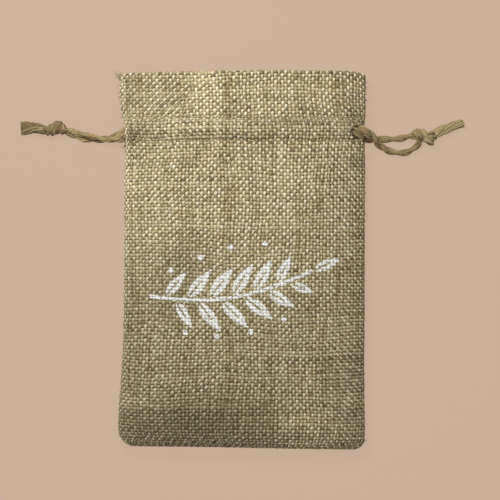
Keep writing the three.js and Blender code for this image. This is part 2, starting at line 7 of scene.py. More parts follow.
import bpy
import numpy as np
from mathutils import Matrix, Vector


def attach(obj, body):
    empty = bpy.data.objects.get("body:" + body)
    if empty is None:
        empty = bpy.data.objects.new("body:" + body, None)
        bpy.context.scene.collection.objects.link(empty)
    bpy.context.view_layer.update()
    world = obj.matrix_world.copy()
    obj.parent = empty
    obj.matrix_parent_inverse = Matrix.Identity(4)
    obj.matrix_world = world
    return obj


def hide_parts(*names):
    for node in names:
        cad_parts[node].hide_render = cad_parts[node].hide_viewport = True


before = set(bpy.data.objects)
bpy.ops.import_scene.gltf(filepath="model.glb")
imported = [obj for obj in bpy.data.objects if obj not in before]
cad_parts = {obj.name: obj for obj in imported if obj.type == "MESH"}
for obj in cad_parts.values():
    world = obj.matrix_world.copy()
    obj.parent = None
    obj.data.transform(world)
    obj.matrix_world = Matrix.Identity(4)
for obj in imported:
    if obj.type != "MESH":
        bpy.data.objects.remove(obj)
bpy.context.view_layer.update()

# The pouch, as part.mjs has it
CLOTH = 0.0010  # thickness of one layer of the woven jute
TOP = 0.0755  # the mouth's fold, above the pouch's middle
BOTTOM = -0.0760  # the bottom fold
BOTTOM_ROUND = 0.013  # length over which the walls close to the bottom fold, and how bluntly they do
BOTTOM_BLUNT = 2.2
CORNER_LEFT = 0.0070  # the outline's corner radii at the bottom
CORNER_RIGHT = 0.0045
HEM_EDGE = 0.0438  # raw edge of the hem, inside
LOWER_ROW = 0.0476  # the two rows of stitching
UPPER_ROW = 0.0570
TUNNEL_MIDDLE = (LOWER_ROW + UPPER_ROW) / 2
TUNNEL_HALF = (UPPER_ROW - LOWER_ROW) / 2
TUNNEL_DEPTH = 0.0027  # room for the strings between a tunnel's two layers, and how square its section is
TUNNEL_SQUARE = 6
SLIT = 0.0050  # how far each side is left open at the tunnels
SLIT_LIP = 0.0082  # height over the table of the left slit's upper lip
SLIT_TOP = 0.0536  # where the cloth over the right slit's strings ends
ROW_KEPT = 0.0003  # how much cloth stays whole between a slit and a sewn row
STRING = 0.0022  # diameter of the two-ply twine
LAY = 0.0125  # length of one turn of its plies
PLY_HALF = 0.36  # half width of a ply and its distance from the middle, as shares of the twine's diameter
PLY_OUT = 0.235
MOUTH_FULLER = 0.50  # how much fuller the strings are where they leave the slits
MOUTH_REACH = 0.0050
UPPER_LANE = 0.0540  # where the strings lie in the tunnels
LOWER_LANE = 0.0511
HIDDEN_HALF = 0.042  # the strings lie within the tunnels up to here, on both sides of the middle
HIDDEN_STEP = 0.003
RESTED = 0.00012  # the back wall's folds are pressed this much flatter where it lies
EDGE_LAID = 1.9  # how much sooner the back wall lies flat than the front wall rises
MOUTH_WANDERS = 0.11  # the share of the length that wanders with the mouth, and with the bottom fold
FOLD_WANDERS = 0.2
PATH_STEP = 0.0005  # from point to point along the strings and tails
CURVE_STEPS = 16  # points of a smooth line from one given point to the next

MILLIMETRES = 1000  # in a metre
NOT_LENGTHS = ("angle", "square", "share")


def metres(*rows):
    """Rows of millimetres, in metres to the micrometre."""
    return np.round(np.array(rows, float) / MILLIMETRES, 6)


def table(names, *rows):
    """Named columns. Lengths are given in millimetres and end up in metres."""
    given, in_metres = np.array(rows, float).T, metres(*rows).T
    kinds = enumerate(names.split())
    return {name: given[k] if name in NOT_LENGTHS else in_metres[k] for k, name in kinds}


# The left and right edges of the pouch, from the bottom fold up to the mouth
EDGES = table(
    "y left right",
    (-76, -49.9, 49.3),
    (-60, -49.5, 49.1),
    (-45, -48.4, 48.9),
    (-25, -47.6, 49),
    (8, -47.2, 49.1),
    (36, -47.1, 49.2),
    (45, -46.5, 49),
    (52, -47, 48.8),
    (58, -48, 49.1),
    (64, -48.8, 49.4),
    (76, -49.2, 49.6),
)

# How far the mouth and the bottom fold wander from straight
RIMS = table(
    "x mouth fold",
    (-50, -0.8, 0.7),
    (-46, -0.2, 0.7),
    (-36, -0.3, 0.6),
    (-18, 0.1, 0.4),
    (10, 0.6, -0.1),
    (38, 0.5, -0.6),
    (45, 0.3, -0.6),
    (50, -0.6, -0.4),
)

# Heights over the table in the pouch's middle, of the front wall, the back wall and the side edges.
# The larger square is, the squarer the section's edges are.
HEIGHTS = table(
    "y front back side square",
    (-76, 12.4, 0, 5.2, 4.2),
    (-50, 13.4, 0, 5.4, 4.4),
    (-10, 13.8, 0, 5.6, 4.6),
    (25, 13.2, 0, 5.8, 5),
    (40, 12.6, 0.2, 6.2, 7),
    (47, 12.8, 1.3, 6.6, 11),
    (52, 13.2, 1.4, 6.8, 13),
    (57, 12.7, 1.3, 6.6, 11),
    (64, 11.8, 0.9, 6.2, 7),
    (76, 12.2, 0.6, 6, 6),
)

# Soft ridges, and troughs where rise is negative: the middle, the reach to both sides and along the
# fold's own line, that line's angle from the X axis in degrees, and the height
FRONT_FOLDS = table(
    "x y reach along angle rise",
    (-10, 67, 6, 15, 84, 1.1),
    (-25, 70, 5, 12, 100, -0.8),
    (2, 66, 4, 12, 88, -0.7),
    (13, 68, 5, 14, 95, 0.7),
    (31, 66, 6, 12, 92, -0.6),
    (-38, 64, 5, 10, 65, 0.6),
    (-24, 42.5, 3, 6, 80, 0.9),
    (-8, 42.5, 2.8, 6, 95, 0.8),
    (4, 42.5, 2.8, 7, 100, 0.9),
    (26, 42.5, 3.2, 6, 85, 0.8),
    (-16, 40, 3, 8, 55, -0.9),
    (-40, 40, 3, 8, 20, -0.7),
    (41, 38, 4, 12, 110, -0.7),
    (-34, 20, 8, 26, 80, 0.6),
    (-24, -8, 9, 12, 75, -0.9),
    (20, 6, 12, 20, 60, 0.4),
    (-26, -46, 2.6, 20, 2, -0.5),
    (20, -44, 5, 16, 12, 0.6),
    (41, -48, 5, 12, 60, -1),
    (25, -61, 4, 13, -8, 0.9),
    (-42, -54, 4, 8, 40, 0.5),
    (-8, -62, 7, 24, 0, -0.6),
)
BACK_FOLDS = table(
    "x y reach along angle rise",
    (-33, -58, 6, 15, 55, 0.9),
    (36, -56, 6, 14, 125, 0.8),
    (30, 30, 5, 12, 75, 0.7),
    (-22, 32, 4, 10, 100, 0.6),
    (8, 68, 5, 10, 88, 0.7),
    (-30, 68, 5, 10, 95, 0.6),
)

# Finer troughs and ridges that only the woven yarns show
FINE_FOLDS = table(
    "x y reach along angle rise",
    (-18, 53.8, 1, 10, 0, -0.6),
    (21, 55.6, 0.9, 22, 0, -0.6),
    (3, 52.4, 0.7, 9, 2, -0.5),
    (0, 50.1, 1.2, 60, 0, -0.5),
    (0, 46.4, 1.1, 60, 0, 0.3),
    (-18, 40, 1.4, 8, 64, -0.5),
    (-40, 41.5, 1.2, 4, 20, -0.4),
    (38, 64, 3, 14, 92, -0.5),
    (37, 30, 2.6, 30, 90, -0.3),
    (-20, 66, 3, 14, 92, 0.5),
    (-34, -10, 4, 14, 60, -0.4),
    (29, -46, 1.6, 10, -8, 0.5),
    (42, -52, 1.8, 8, 70, -0.6),
)

# Painted shade: where the cloth is painted darker to stand for shade, and painted paler for light where the
# share is negative
PAINTED_SHADE = table(
    "x y reach along angle share",
    (21, 55, 1.7, 26, 0, 0.36),
    (-44.5, 66, 3, 12, 90, 0.18),
    (-16, 68, 4, 10, 90, -0.18),
    (-27, 65, 6, 14, 90, 0.12),
    (29, 66, 1.6, 12, 90, -0.2),
    (42.5, 62, 4.5, 14, 90, 0.2),
    (-43.5, 49.8, 2.8, 4, 0, 0.32),
    (-45, -20, 5, 30, 90, 0.14),
    (-40, 70, 9, 12, 90, 0.12),
    (0, 49.7, 1.3, 56, 0, 0.2),
    (45.5, 38.5, 2.2, 3.5, 0, 0.4),
    (-26.5, -10, 9, 14, 75, 0.28),
    (43, 0, 4, 40, 90, 0.08),
    (-20, -64.5, 8.5, 36, 0, 0.36),
    (29, -66, 5.5, 14, -8, -0.42),
    (34.5, -48, 4, 10, 90, 0.16),
    (30, -50, 6, 10, 0, -0.2),
    (44, -56, 4, 14, 80, 0.15),
    (-43, -57, 2.2, 6, 0, -0.3),
    (26, -62.5, 2, 6, 0, -0.22),
    (24.5, -73.8, 1.6, 8, 0, -0.35),
    (34.3, -68, 2.6, 3, 0, 0.28),
    (-44, 27, 3, 12, 90, -0.14),
    (-34, 10.5, 2.4, 12, 0, -0.15),
    (40, -34.5, 3, 8, 90, -0.12),
    (28.8, 58, 2.6, 5, 90, 0.18),
    (46, 57, 3.2, 6, 90, 0.22),
    (45.5, 70.2, 3, 3, 0, -0.28),
    (34.5, 69.2, 2.2, 3, 0, -0.22),
    (-33, 60.8, 2.2, 3, 0, 0.18),
    (-5, 60.8, 2.2, 3, 0, 0.16),
    (1, 49.7, 1.5, 3, 0, 0.18),
    (-44, 46.6, 2, 3, 0, 0.22),
    (-27.2, 53, 3, 5, 90, -0.15),
    (-46.7, 50, 0.6, 5, 90, -0.55),
    (0.8, 48.2, 0.5, 10, 0, 0.2),
    (-36, 55.2, 1.8, 12, 0, 0.22),
    (-40, 52.5, 1.8, 8, 0, 0.15),
    (-41.5, 38.5, 2, 6, 0, 0.18),
    (44.5, -56.8, 2, 5, 0, -0.35),
    (23.2, -46.5, 2, 3, 0, -0.2),
    (42, 30, 3, 5, 0, 0.15),
)

# Where the yarns slant more to the right, or to the left where the share is negative
TILTS = table(
    "x y reach along angle share",
    (-32, 68, 12, 18, 60, 0.1),
    (-22, 53.5, 4, 14, 0, -0.26),
    (6, 64, 8, 14, 0, 0.03),
    (44, 0, 11, 90, 90, -0.19),
    (20, 50, 9, 14, 90, -0.07),
    (5, -56, 10, 20, 90, -0.05),
    (-30, -50, 16, 20, 0, 0.06),
    (-35, 10, 20, 20, 90, 0.04),
    (42, -43, 11, 30, 90, -0.18),
    (-30, 64, 7, 9, 60, 0.12),
    (-29, 30, 6, 10, 60, 0.08),
)

PAINTED_SHADE_BELOW = 0.030  # painted shade: from this level down, over this length, the cloth is painted darker by this much, for light falling off towards the bottom
PAINTED_SHADE_LENGTH = 0.105
PAINTED_SHADE_DEEP = 0.20
PAINTED_SHADE_TAKES = (-1.0, -1.03, -1.15)  # how much of the red, green and blue the painted shade takes away
PUCKERS = [(0.0051, 0.4), (0.0083, 2.1), (0.0129, 4.4)]  # lengths and phases of the waves beside the rows
PUCKER = 0.00014  # their height, and how many times the row's reach they take to fade
PUCKER_FADE = 3
ROW_REACH = 0.0008  # how far to both sides a sewn row pulls the cloth in, and how deep
LOWER_DEPTH = 0.00040
UPPER_DEPTH = 0.00055

# The strings outside the slits, from the knots to the tunnels and back
LEFT_FROM_KNOT = metres(
    (-69.3, 51, 2),
    (-67.6, 50.3, 1.4),
    (-65.2, 49.4, 1.15),
    (-62, 48.9, 1.15),
    (-58.5, 48.8, 1.15),
    (-55, 49, 1.15),
    (-51.8, 49.9, 1.4),
    (-49, 51.7, 2),
    (-46.2, 53.2, 2.4),
    (-43.2, 54, 2.4),
)
LEFT_TO_KNOT = metres(
    (-43.3, 50.5, 9.3),
    (-45.2, 49.9, 7.5),
    (-47.4, 49.4, 5.9),
    (-50, 48.9, 4.6),
    (-53, 48.7, 3.9),
    (-56, 49, 3.7),
    (-59, 49.6, 3.6),
    (-62.2, 50.4, 3.4),
    (-65.2, 51, 3.2),
    (-67.6, 51.6, 3),
    (-69.3, 52.3, 3),
)
RIGHT_FROM_KNOT = metres(
    (71.4, 47, 2.4),
    (70.4, 45.9, 1.7),
    (68.6, 44.5, 1.2),
    (66.2, 43.5, 1.15),
    (63.2, 43.5, 1.15),
    (60.2, 44.1, 1.25),
    (57.5, 45.2, 2.4),
    (55.2, 46.7, 4.1),
    (53.3, 48.5, 6.2),
    (51.4, 50.2, 8.2),
    (49.3, 51.6, 9.6),
    (46.6, 52.8, 10.4),
)
RIGHT_TO_KNOT = metres(
    (45, 50, 2.6),
    (46.8, 49.5, 3.6),
    (48.6, 49.2, 4.4),
    (50.4, 49.1, 4),
    (52.4, 49.1, 2.8),
    (54.8, 49, 1.4),
    (58.4, 48.9, 1.15),
    (62, 49, 1.15),
    (64.6, 49.3, 1.5),
    (66.4, 49.7, 2.1),
    (67.7, 50.1, 2.6),
)

# Where each string turns back in the far slit, from the first tunnel to the second
LEFT_STRING_TURN = metres(
    (45.8, 53.5, 2.7),
    (47.7, 52.1, 4.4),
    (48.8, 50.8, 6.6),
    (48.2, 49.6, 8.7),
    (45.8, 50.2, 10.4),
)
RIGHT_STRING_TURN = metres(
    (-44, 53.6, 8.6),
    (-44.9, 53, 6.9),
    (-44.9, 52.2, 4.8),
    (-43.9, 51.4, 3),
)

# Knots: turns of string round the pulled-tight core. Each turn is an oval loop that stands on edge:
# its middle, its angle from the Y axis in degrees, its half width and half height, and its thickness.
LEFT_TURNS = table(
    "x y z angle half tall thick",
    (-72.1, 53.1, 3.1, -26, 1.2, 1.8, 1.7),
    (-73.4, 53.4, 3.2, -12, 1.8, 2, 1.8),
    (-75, 53.5, 3.2, 6, 2, 2.1, 1.8),
    (-76.6, 52.9, 3.2, 14, 1.9, 2, 1.8),
    (-78, 52.6, 3.1, 20, 1.6, 1.8, 1.8),
    (-78.6, 52.5, 3, -62, 2, 1.7, 1.8),
)
RIGHT_TURNS = table(
    "x y z angle half tall thick",
    (70.4, 50.8, 3.1, -41, 1.4, 1.8, 1.8),
    (72, 50.8, 3.2, -36, 1.7, 2, 1.8),
    (73.8, 50.8, 3.2, -32, 1.8, 2, 1.8),
    (75.2, 50.9, 3.1, 80, 1.9, 1.8, 1.8),
    (75.8, 49.5, 3.1, 96, 2, 1.9, 1.9),
    (75.2, 48, 3, 113, 1.8, 1.8, 1.8),
)

# Where the strings' ends meet inside their knots
LEFT_KNOT = (-0.0728, 0.0526, 0.0030)
RIGHT_KNOT = (0.0716, 0.0500, 0.0030)

# Tails: the string's two ends past the knot, side by side, with their half width and half height
LEFT_TAIL = table(
    "x y z half tall",
    (-77, 52.6, 3, 1.4, 1.4),
    (-80.5, 52.7, 2.6, 1.8, 1.6),
    (-82.9, 53.4, 2.3, 2, 1.6),
    (-84.9, 53.6, 2, 2.1, 1.6),
    (-87, 53.4, 1.8, 2.7, 1.5),
    (-90.4, 53.3, 1.6, 3, 1.4),
)
RIGHT_TAIL = table(
    "x y z half tall",
    (76.5, 49.9, 3, 1.4, 1.4),
    (79.4, 51.7, 2.6, 1.9, 1.6),
    (81, 52.5, 2.3, 2.2, 1.6),
    (82.8, 53.2, 2.1, 2.1, 1.6),
    (85.9, 54.5, 1.8, 1.8, 1.5),
    (90.4, 55.6, 1.6, 1.9, 1.4),
)

# Their four plies: each one's angle round the tail at its tip, in degrees, and its size there
LEFT_BUNDLES = [(20, 0.52), (150, 0.55), (215, 0.50), (320, 0.56)]
RIGHT_BUNDLES = [(10, 0.55), (95, 0.52), (190, 0.55), (275, 0.54)]

# How plies and the bundles of fibres on them vary. A pair is the size of a change, and the points of the
# path from one change to the next.
PLY_SWELL = (0.05, 16)  # the width of both plies
PLY_RIPPLE = (0.03, 5)
PLY_SLIP = (0.12, 14)  # the angle, width and tone of one
PLY_UNEVEN = (0.04, 7)
PLY_SHADE = (0.25, 24)
PLY_CORE = 0.92  # a ply's core as a share of its width, and how much darker it is
CORE_DARKER = 0.3
PLY_FIBRES = 9  # bundles of fibres that show on a ply
BUNDLE_HALF = 0.00017
BUNDLE_TURN = 1.7  # a bundle turns this many times round its ply while the plies turn once
BUNDLE_OUT = 0.90  # how far from its ply's middle a bundle lies, as a share of the ply's half width
BUNDLE_LIFT = (0.05, 12)
BUNDLE_SLIP = (0.25, 18)  # its angle, its width and the limits of that, and its tone
BUNDLE_UNEVEN = (0.3, 15)
BUNDLE_LIMITS = (0.4, 1.6)
BUNDLE_SHADE = (0.2, 12)
BUNDLE_TONES = (0.1, 0.35)  # the middle and the spread of the bundles' tones

# Knots and tails
LOOP_POINTS = 49
LOOP_SHIFT = 1.3  # how much further round the plies start on the next loop
CORE_POINTS = 9
CORE_HALF = 0.0021  # the core's half width, how much it tapers to both ends, and its tone
CORE_TAPER = 0.6
CORE_TONE = -0.6
TAIL_TWIST = 1.5  # how far the plies turn from the knot to their tips
PLIES_ASIDE = 0.50  # how far they lie from the tail's middle, as shares of its half width and half height
PLIES_UP = 0.46
TAIL_TONES = 0.25  # the spread of the plies' tones
TAIL_BODY = 0.94  # where a ply's core ends, as a share of the length, and its size
TAIL_CORE = 0.85
GOLDEN_ANGLE = math.pi * (3 - math.sqrt(5))
FIBRE_HALF = 0.00014
FIBRE_TWIST = 2.2  # how far the fibres turn round their ply, and how early
FIBRE_EARLY = 1.3
FIBRE_SLIP = (0.22, 12)  # how their angle and their way out vary
FIBRE_OPENS = (0.10, 7)
FIBRE_SHORTER = (0.04, 0.02)  # how much earlier fibres end, at random and towards the outside
FIBRE_TAPER = (1.15, 0.55)  # their width at the knot, and how much of it is gone at the tip
FIBRE_SIZES = (0.7, 1.3)
FIBRE_TONES = (0.1, 0.4)  # the middle and the spread of the fibres' tones

# The weave
WARP_PITCH = 0.00136  # from one lengthwise yarn to the next
WEFT_PITCH = 0.00134  # from one crosswise yarn to the next
SUNK = 0.00062  # the weave's middle lies this deep under the cloth's outer surface
SIDE_OUT = 0.0005  # and this much less deep on the side edges
WARP_WAVE = 0.00028  # how far a yarn swings over and under the weave's middle
WEFT_WAVE = 0.00024
CREST = 0.20  # half length of a crossing's flat crest, as a share of the pitch
WARP_HALF = 0.00052  # half width of a yarn
WEFT_HALF = 0.00056
YARN_TONE = 0.20  # how much the yarns differ in tone, one from the next,
STRETCH_TONE = (0.22, 26)  # from stretch to stretch, and how many points one takes
CROSSING_TONE = 0.38  # and from crossing to crossing
WARP_CROWN_PAINTED_LIGHT = 0.75  # painted highlight and shade: how much paler a yarn is painted where it lies on top, and darker where it dives under
WEFT_CROWN_PAINTED_LIGHT = 0.25
CROWN_SWELL = 0.12  # how much wider it is there
YARN_FLAT = 0.43  # a yarn's height as a share of its width
CROWN_TILT = 0.07  # how far a yarn slants to the right where it lies on top, as a share of the pitch
WEFT_TILT = 0.6  # the crosswise yarns slant this share of it
LEAN_IN = 0.12  # how far the lengthwise yarns lean to the right in the tunnel's left third
LEAN_OUT = -0.08  # and to the left above it
LEAN_PLACE = 0.26  # the share of the width where that lean is strongest, and how far it reaches
LEAN_REACH = 0.17
WANDER = 0.006  # how far the weave wanders, as a share of the wander's length
WANDER_LENGTHS = (0.110, 0.062, 0.038, 0.021)
WANDER_SLOWER = 0.7  # how fast it turns the other way
WANDER_START = 0.02  # over which length it sets in above the bottom fold
FRONT_SEED = 11
BACK_SEED = 12

# How the yarns vary. A pair is the size of a change, and the yarn's points from one change to the next.
YARN_STRAY = (0.08, 9)  # aside, as shares of the pitch
YARN_SHAKE = (0.06, 2.5)
YARN_SLUB = (0.10, 11)  # in width, and the limits of that
YARN_LUMP = (0.08, 3)
SLUB_LIMITS = (0.65, 1.5)
YARN_UNEVEN = 0.08  # how much the yarns differ in width, one from the next
CROWN_UNEVEN = 0.12  # and the crossings in height
SHORTEST_RUN = 3  # points of the shortest stretch of yarn that is kept

# The sewn rows
STITCH = 0.0027  # length of a stitch
STITCH_RISE = 0.00052  # how high the thread lies over the weave's middle
THREAD_HALF = 0.00017
STITCH_POINTS = 7
STITCH_DIVE = 0.0007  # how far its ends go down, and how abruptly
STITCH_ABRUPT = 4
STITCH_GAP = 0.04  # the share of a stitch's length that is left between two holes
SEAM_EDGE = 0.01  # the share of the width without stitches beside the slits
STITCH_SLIP = 0.0008  # how far a stitch strays across, as a share of the width,
STITCH_STRAY = 0.00008  # along, in metres,
STITCH_TURN = 0.0003  # and at its ends
LOWER_TONE = 0.3  # the rows' tones, and how much the stitches differ from them
UPPER_TONE = -0.8
STITCH_TONES = 0.5

# Loose fibres and thread ends
HAIRS = 1100  # fine single fibres on each wall
HAIR_HALF = 0.000035
HAIR_LIFT = 0.00045  # how high they start over the weave's middle, and how much higher they rise
HAIR_RISE = 0.0006
HAIR_ARCHES = (0.5, 1.1)  # how much of an arch one makes
HAIR_LENGTHS = (0.0015, 0.0045)
HAIR_BEND = 1.2
HAIR_TAPER = (1.2, 0.6)  # their width where they start, and how much of it is gone at the end
HAIR_TONES = (0.5, 0.5)
HAIR_POINTS = 7
HAIR_LOWEST = 0.004  # they grow from here above the bottom fold to here past the mouth's
HAIR_OVER = 0.001
HAIR_AWAY = 0.8  # not where the back wall faces the table by more than this
HAIR_CLEAR = 0.0006  # and not so close to a slit

EDGE_YARN_IN = 0.0003  # the yarn that fills each side edge: its place from the edge and its half width
EDGE_YARN_HALF = 0.0006
EDGE_YARN_FROM = 0.001  # it starts above the bottom fold and ends short of the mouth's
EDGE_YARN_SHORT = 0.0005
EDGE_SHADE = (0.5, 4)
# Thread ends on the left and right edges: the edge, and how many of the yarns have one above the sewn rows
# and below
EDGE_ENDS = ((0.0, 0.9, 0.4), (1.0, 0.45, 0.25))
END_LOWEST = 0.006  # they stand from here above the bottom fold to here short of the mouth's
END_SHORT = 0.001
END_CLEAR = 0.0004  # and not so close to a slit
END_POINTS = 6
END_SWAY = 0.55  # how much their headings differ along the edge, and up and down
END_LIFT = 0.4
END_BEND = 0.21
END_TAPER = 0.6
END_SHORTEST = 0.0005  # their shortest and greatest length below the upper row, and the greatest above it
END_LONGEST = 0.0011
FRILL_LONGEST = 0.0019
END_IN = 0.0002  # how far inside the edge they start
END_HALVES = (0.00012, 0.00024)
END_TONES = (0.3, 0.6)
FRAY_HALVES = (0.00010, 0.00018)
FRAY_TONES = (0.1, 0.6)
FRAY_STRAY = 0.0005
FRAY_LENGTHS = (0.5, 1.1)

# Frayed places on the edges: the place, the way the threads point, their spread, number and length
FRAYS = [
    ((-0.0488, 0.0740, 0.0066), (-1.0, 0.25, 0.0), 0.25, 14, 0.0024),
    ((-0.0462, 0.0466, 0.0062), (-0.6, -0.8, 0.1), 0.35, 16, 0.0026),
    ((-0.0462, 0.0555, 0.0066), (-1.0, 0.10, 0.0), 0.40, 4, 0.0014),
    ((0.0436, 0.0524, 0.0108), (0.8, -0.6, 0.0), 0.35, 7, 0.0024),
    ((0.0438, 0.0487, 0.0104), (0.9, 0.2, 0.0), 0.30, 12, 0.0028),
]

# The white print: a sprig
PRINT_MIDDLE = (0.0005, -0.0115)
FINER_STEPS = 5  # points of a yarn's stretch where the print's edge crosses it
INK_CHANGES = 0.2  # the change of ink along a stretch that counts as an edge
INK_FILLS = 0.30  # how much wider the ink makes a yarn
PRINT_EDGE = 0.0003  # softness of the print's edge
STEM_START = np.array((-0.037, -0.003))
STEM_SPAN = np.array((0.064, 0.010))
STEM_SAG = 0.0055
STEM_POINTS = 60
STEM_HALF = 0.00065
STEM_NUDGE = 0.01  # how far to both sides of a leaf the stem's direction is read
LEAF_HALF = 0.0019 / 0.012  # a leaf's half width as a share of its length
LEAF_FULL = 0.8  # below 1 a leaf is widest nearer to its foot
LEAF_GAP = 0.0012  # from the stem's middle to a leaf's foot
VEIN_HALF = 0.0004
VEIN_LONG = 0.62  # a vein's length as a share of its leaf's
SPRIG_LEAVES = [  # place along the stem, angle off it and length
    (0.08, 0.95, 0.0125), (0.22, 0.92, 0.0145), (0.36, 0.88, 0.0150), (0.50, 0.84, 0.0150),
    (0.64, 0.80, 0.0140), (0.78, 0.76, 0.0120),
    (0.15, -0.95, 0.0125), (0.29, -0.92, 0.0145), (0.43, -0.88, 0.0150), (0.57, -0.86, 0.0145),
    (0.71, -0.84, 0.0130), (0.85, -0.80, 0.0105),
    (0.995, 0.0, 0.0120),
]
SPRIG_BERRIES = metres(  # places off the print's middle, and radii
    (-29, 7.5, 1),
    (-17, 12.5, 1.1),
    (-5, 16.5, 1.1),
    (8.5, 18, 1),
    (-23, -17.5, 1),
    (-10.5, -19, 1.1),
    (3, -17, 1.1),
    (16, -12, 1),
)

# The yarns inside the mouth, and the sheet
INSIDE_FRONT = 0.006  # how far the woven yarns reach down inside the mouth
INSIDE_BACK = 0.014
SHEET = 0.0003  # thickness of the sheet under the yarns
SHEET_SUNK = 0.0001  # how deep it lies under the weave's middle
FOLD_SUNK = 0.00035  # and how much deeper near the mouth's fold
FOLD_REACH = 0.0015
SHEET_COLUMNS = 88
SHEET_EDGE = 0.002  # the share of the width that it ends short of each side edge
SHEET_STEP = 0.0014  # from row to row
FOLD_ROWS = (0.0004, 0.0012)  # where the first two rows beside the mouth's fold lie
SHEET_SPAN = 0.105  # the width that its fibre map takes in
INSIDE_TONE = 0.6  # and its tone inside the pouch
ROW_EDGE = 0.08  # what stays free on the baking map between two strands, and round its edge
MAP_EDGE = 0.01
STRANDS_APART = 7.3  # how far apart the strands lie on the fibre map
RNG = np.random.default_rng(7)


def read(rows, key, column, place):
    """One column of a table at places between its rows, on a smooth curve."""
    keys, values = rows[key], rows[column]
    slopes = np.empty(len(keys))
    slopes[1:-1] = (values[2:] - values[:-2]) / (keys[2:] - keys[:-2])
    slopes[0] = (values[1] - values[0]) / (keys[1] - keys[0])
    slopes[-1] = (values[-1] - values[-2]) / (keys[-1] - keys[-2])
    i = np.clip(np.searchsorted(keys, place, side="right") - 1, 0, len(keys) - 2)
    span = keys[i + 1] - keys[i]
    t = np.clip((place - keys[i]) / span, 0, 1)
    return (
        values[i] * (1 + 2 * t) * (1 - t) ** 2
        + values[i + 1] * t * t * (3 - 2 * t)
        + slopes[i] * span * t * (1 - t) ** 2
        - slopes[i + 1] * span * t * t * (1 - t)
    )


def relief(folds, x, y):
    """The sum of all folds at a place."""
    total = 0.0
    for middle_x, middle_y, reach, length, angle, rise in zip(*folds.values()):
        turn = np.radians(angle)
        along = (x - middle_x) * np.cos(turn) + (y - middle_y) * np.sin(turn)
        aside = (y - middle_y) * np.cos(turn) - (x - middle_x) * np.sin(turn)
        total = total + rise * np.exp(-((along / length) ** 2 + (aside / reach) ** 2))
    return total


def parting(y):
    """How far the walls have parted, from 0 at the bottom fold to 1 past its round."""
    near = np.clip((y - BOTTOM) / BOTTOM_ROUND, 0, 1)
    return np.sqrt(1 - (1 - near) ** BOTTOM_BLUNT)


def cornered(y, radius):
    """How much a rounded bottom corner takes off the width."""
    near = np.clip((y - BOTTOM) / radius, 0, 1)
    return radius * (1 - np.sqrt(1 - (1 - near) ** 2))


def left_edge(y):
    return read(EDGES, "y", "left", y) + cornered(y, CORNER_LEFT)


def right_edge(y):
    return read(EDGES, "y", "right", y) - cornered(y, CORNER_RIGHT)


def tunnel_depth(y):
    """The room between a tunnel's layers."""
    off = np.minimum(1, np.abs(y - TUNNEL_MIDDLE) / TUNNEL_HALF)
    return TUNNEL_DEPTH * (1 - off**TUNNEL_SQUARE)


def heights(x, y):
    """Outer heights of the front and back walls."""
    left, right = left_edge(y), right_edge(y)
    across = np.clip((2 * x - left - right) / (right - left), -1, 1)
    share = np.sqrt(1 - np.abs(across) ** read(HEIGHTS, "y", "square", y)) * parting(y)
    laid = np.minimum(1, EDGE_LAID * share)
    side = read(HEIGHTS, "y", "side", y)
    bulge = tunnel_depth(y) / 2
    front = read(HEIGHTS, "y", "front", y) + bulge + relief(FRONT_FOLDS, x, y)
    back = read(HEIGHTS, "y", "back", y) - bulge + relief(BACK_FOLDS, x, y) - RESTED
    return side + (front - side) * share, side - (side - np.maximum(0, back)) * laid


def eased(t):
    t = np.clip(t, 0, 1)
    return t * t * (3 - 2 * t)


def wandered(x, y):
    """A level with the wander of the mouth and the bottom fold."""
    up = (y - BOTTOM) / (TOP - BOTTOM)
    mouth = read(RIMS, "x", "mouth", x) * eased((up - (1 - MOUTH_WANDERS)) / MOUTH_WANDERS)
    fold = read(RIMS, "x", "fold", x) * eased((1 - up - (1 - FOLD_WANDERS)) / FOLD_WANDERS)
    return y + mouth + fold


def unit(vectors):
    return vectors / np.maximum(np.linalg.norm(vectors, axis=-1, keepdims=True), 1e-12)


def along_of(points):
    """Distance along a line of points, from its start to each point."""
    steps = np.linalg.norm(np.diff(points, axis=0), axis=1)
    return np.concatenate([[0.0], np.cumsum(steps)])


def softened(grid, passes):
    """A grid of vectors, smoothed both ways."""
    for _ in range(passes):
        for axis in (0, 1):
            grid = np.moveaxis(grid, axis, 0)
            padded = np.concatenate([grid[:1], grid, grid[-1:]])
            grid = (padded[:-2] + 2 * padded[1:-1] + padded[2:]) / 4
            grid = np.moveaxis(grid, 0, axis)
    return grid


def sewn(x, y):
    """The weave's fine relief: the sewn rows draw the cloth in, and it puckers beside them."""
    total = relief(FINE_FOLDS, x, y)
    waves = sum(np.sin(2 * math.pi * x / length + phase) for length, phase in PUCKERS)
    for row, depth in ((LOWER_ROW, LOWER_DEPTH), (UPPER_ROW, UPPER_DEPTH)):
        off = (y - row) / ROW_REACH
        total = total - depth * np.exp(-(off**2))
        total = total + PUCKER * waves * np.abs(off) * np.exp(-np.abs(off) / PUCKER_FADE)
    return total


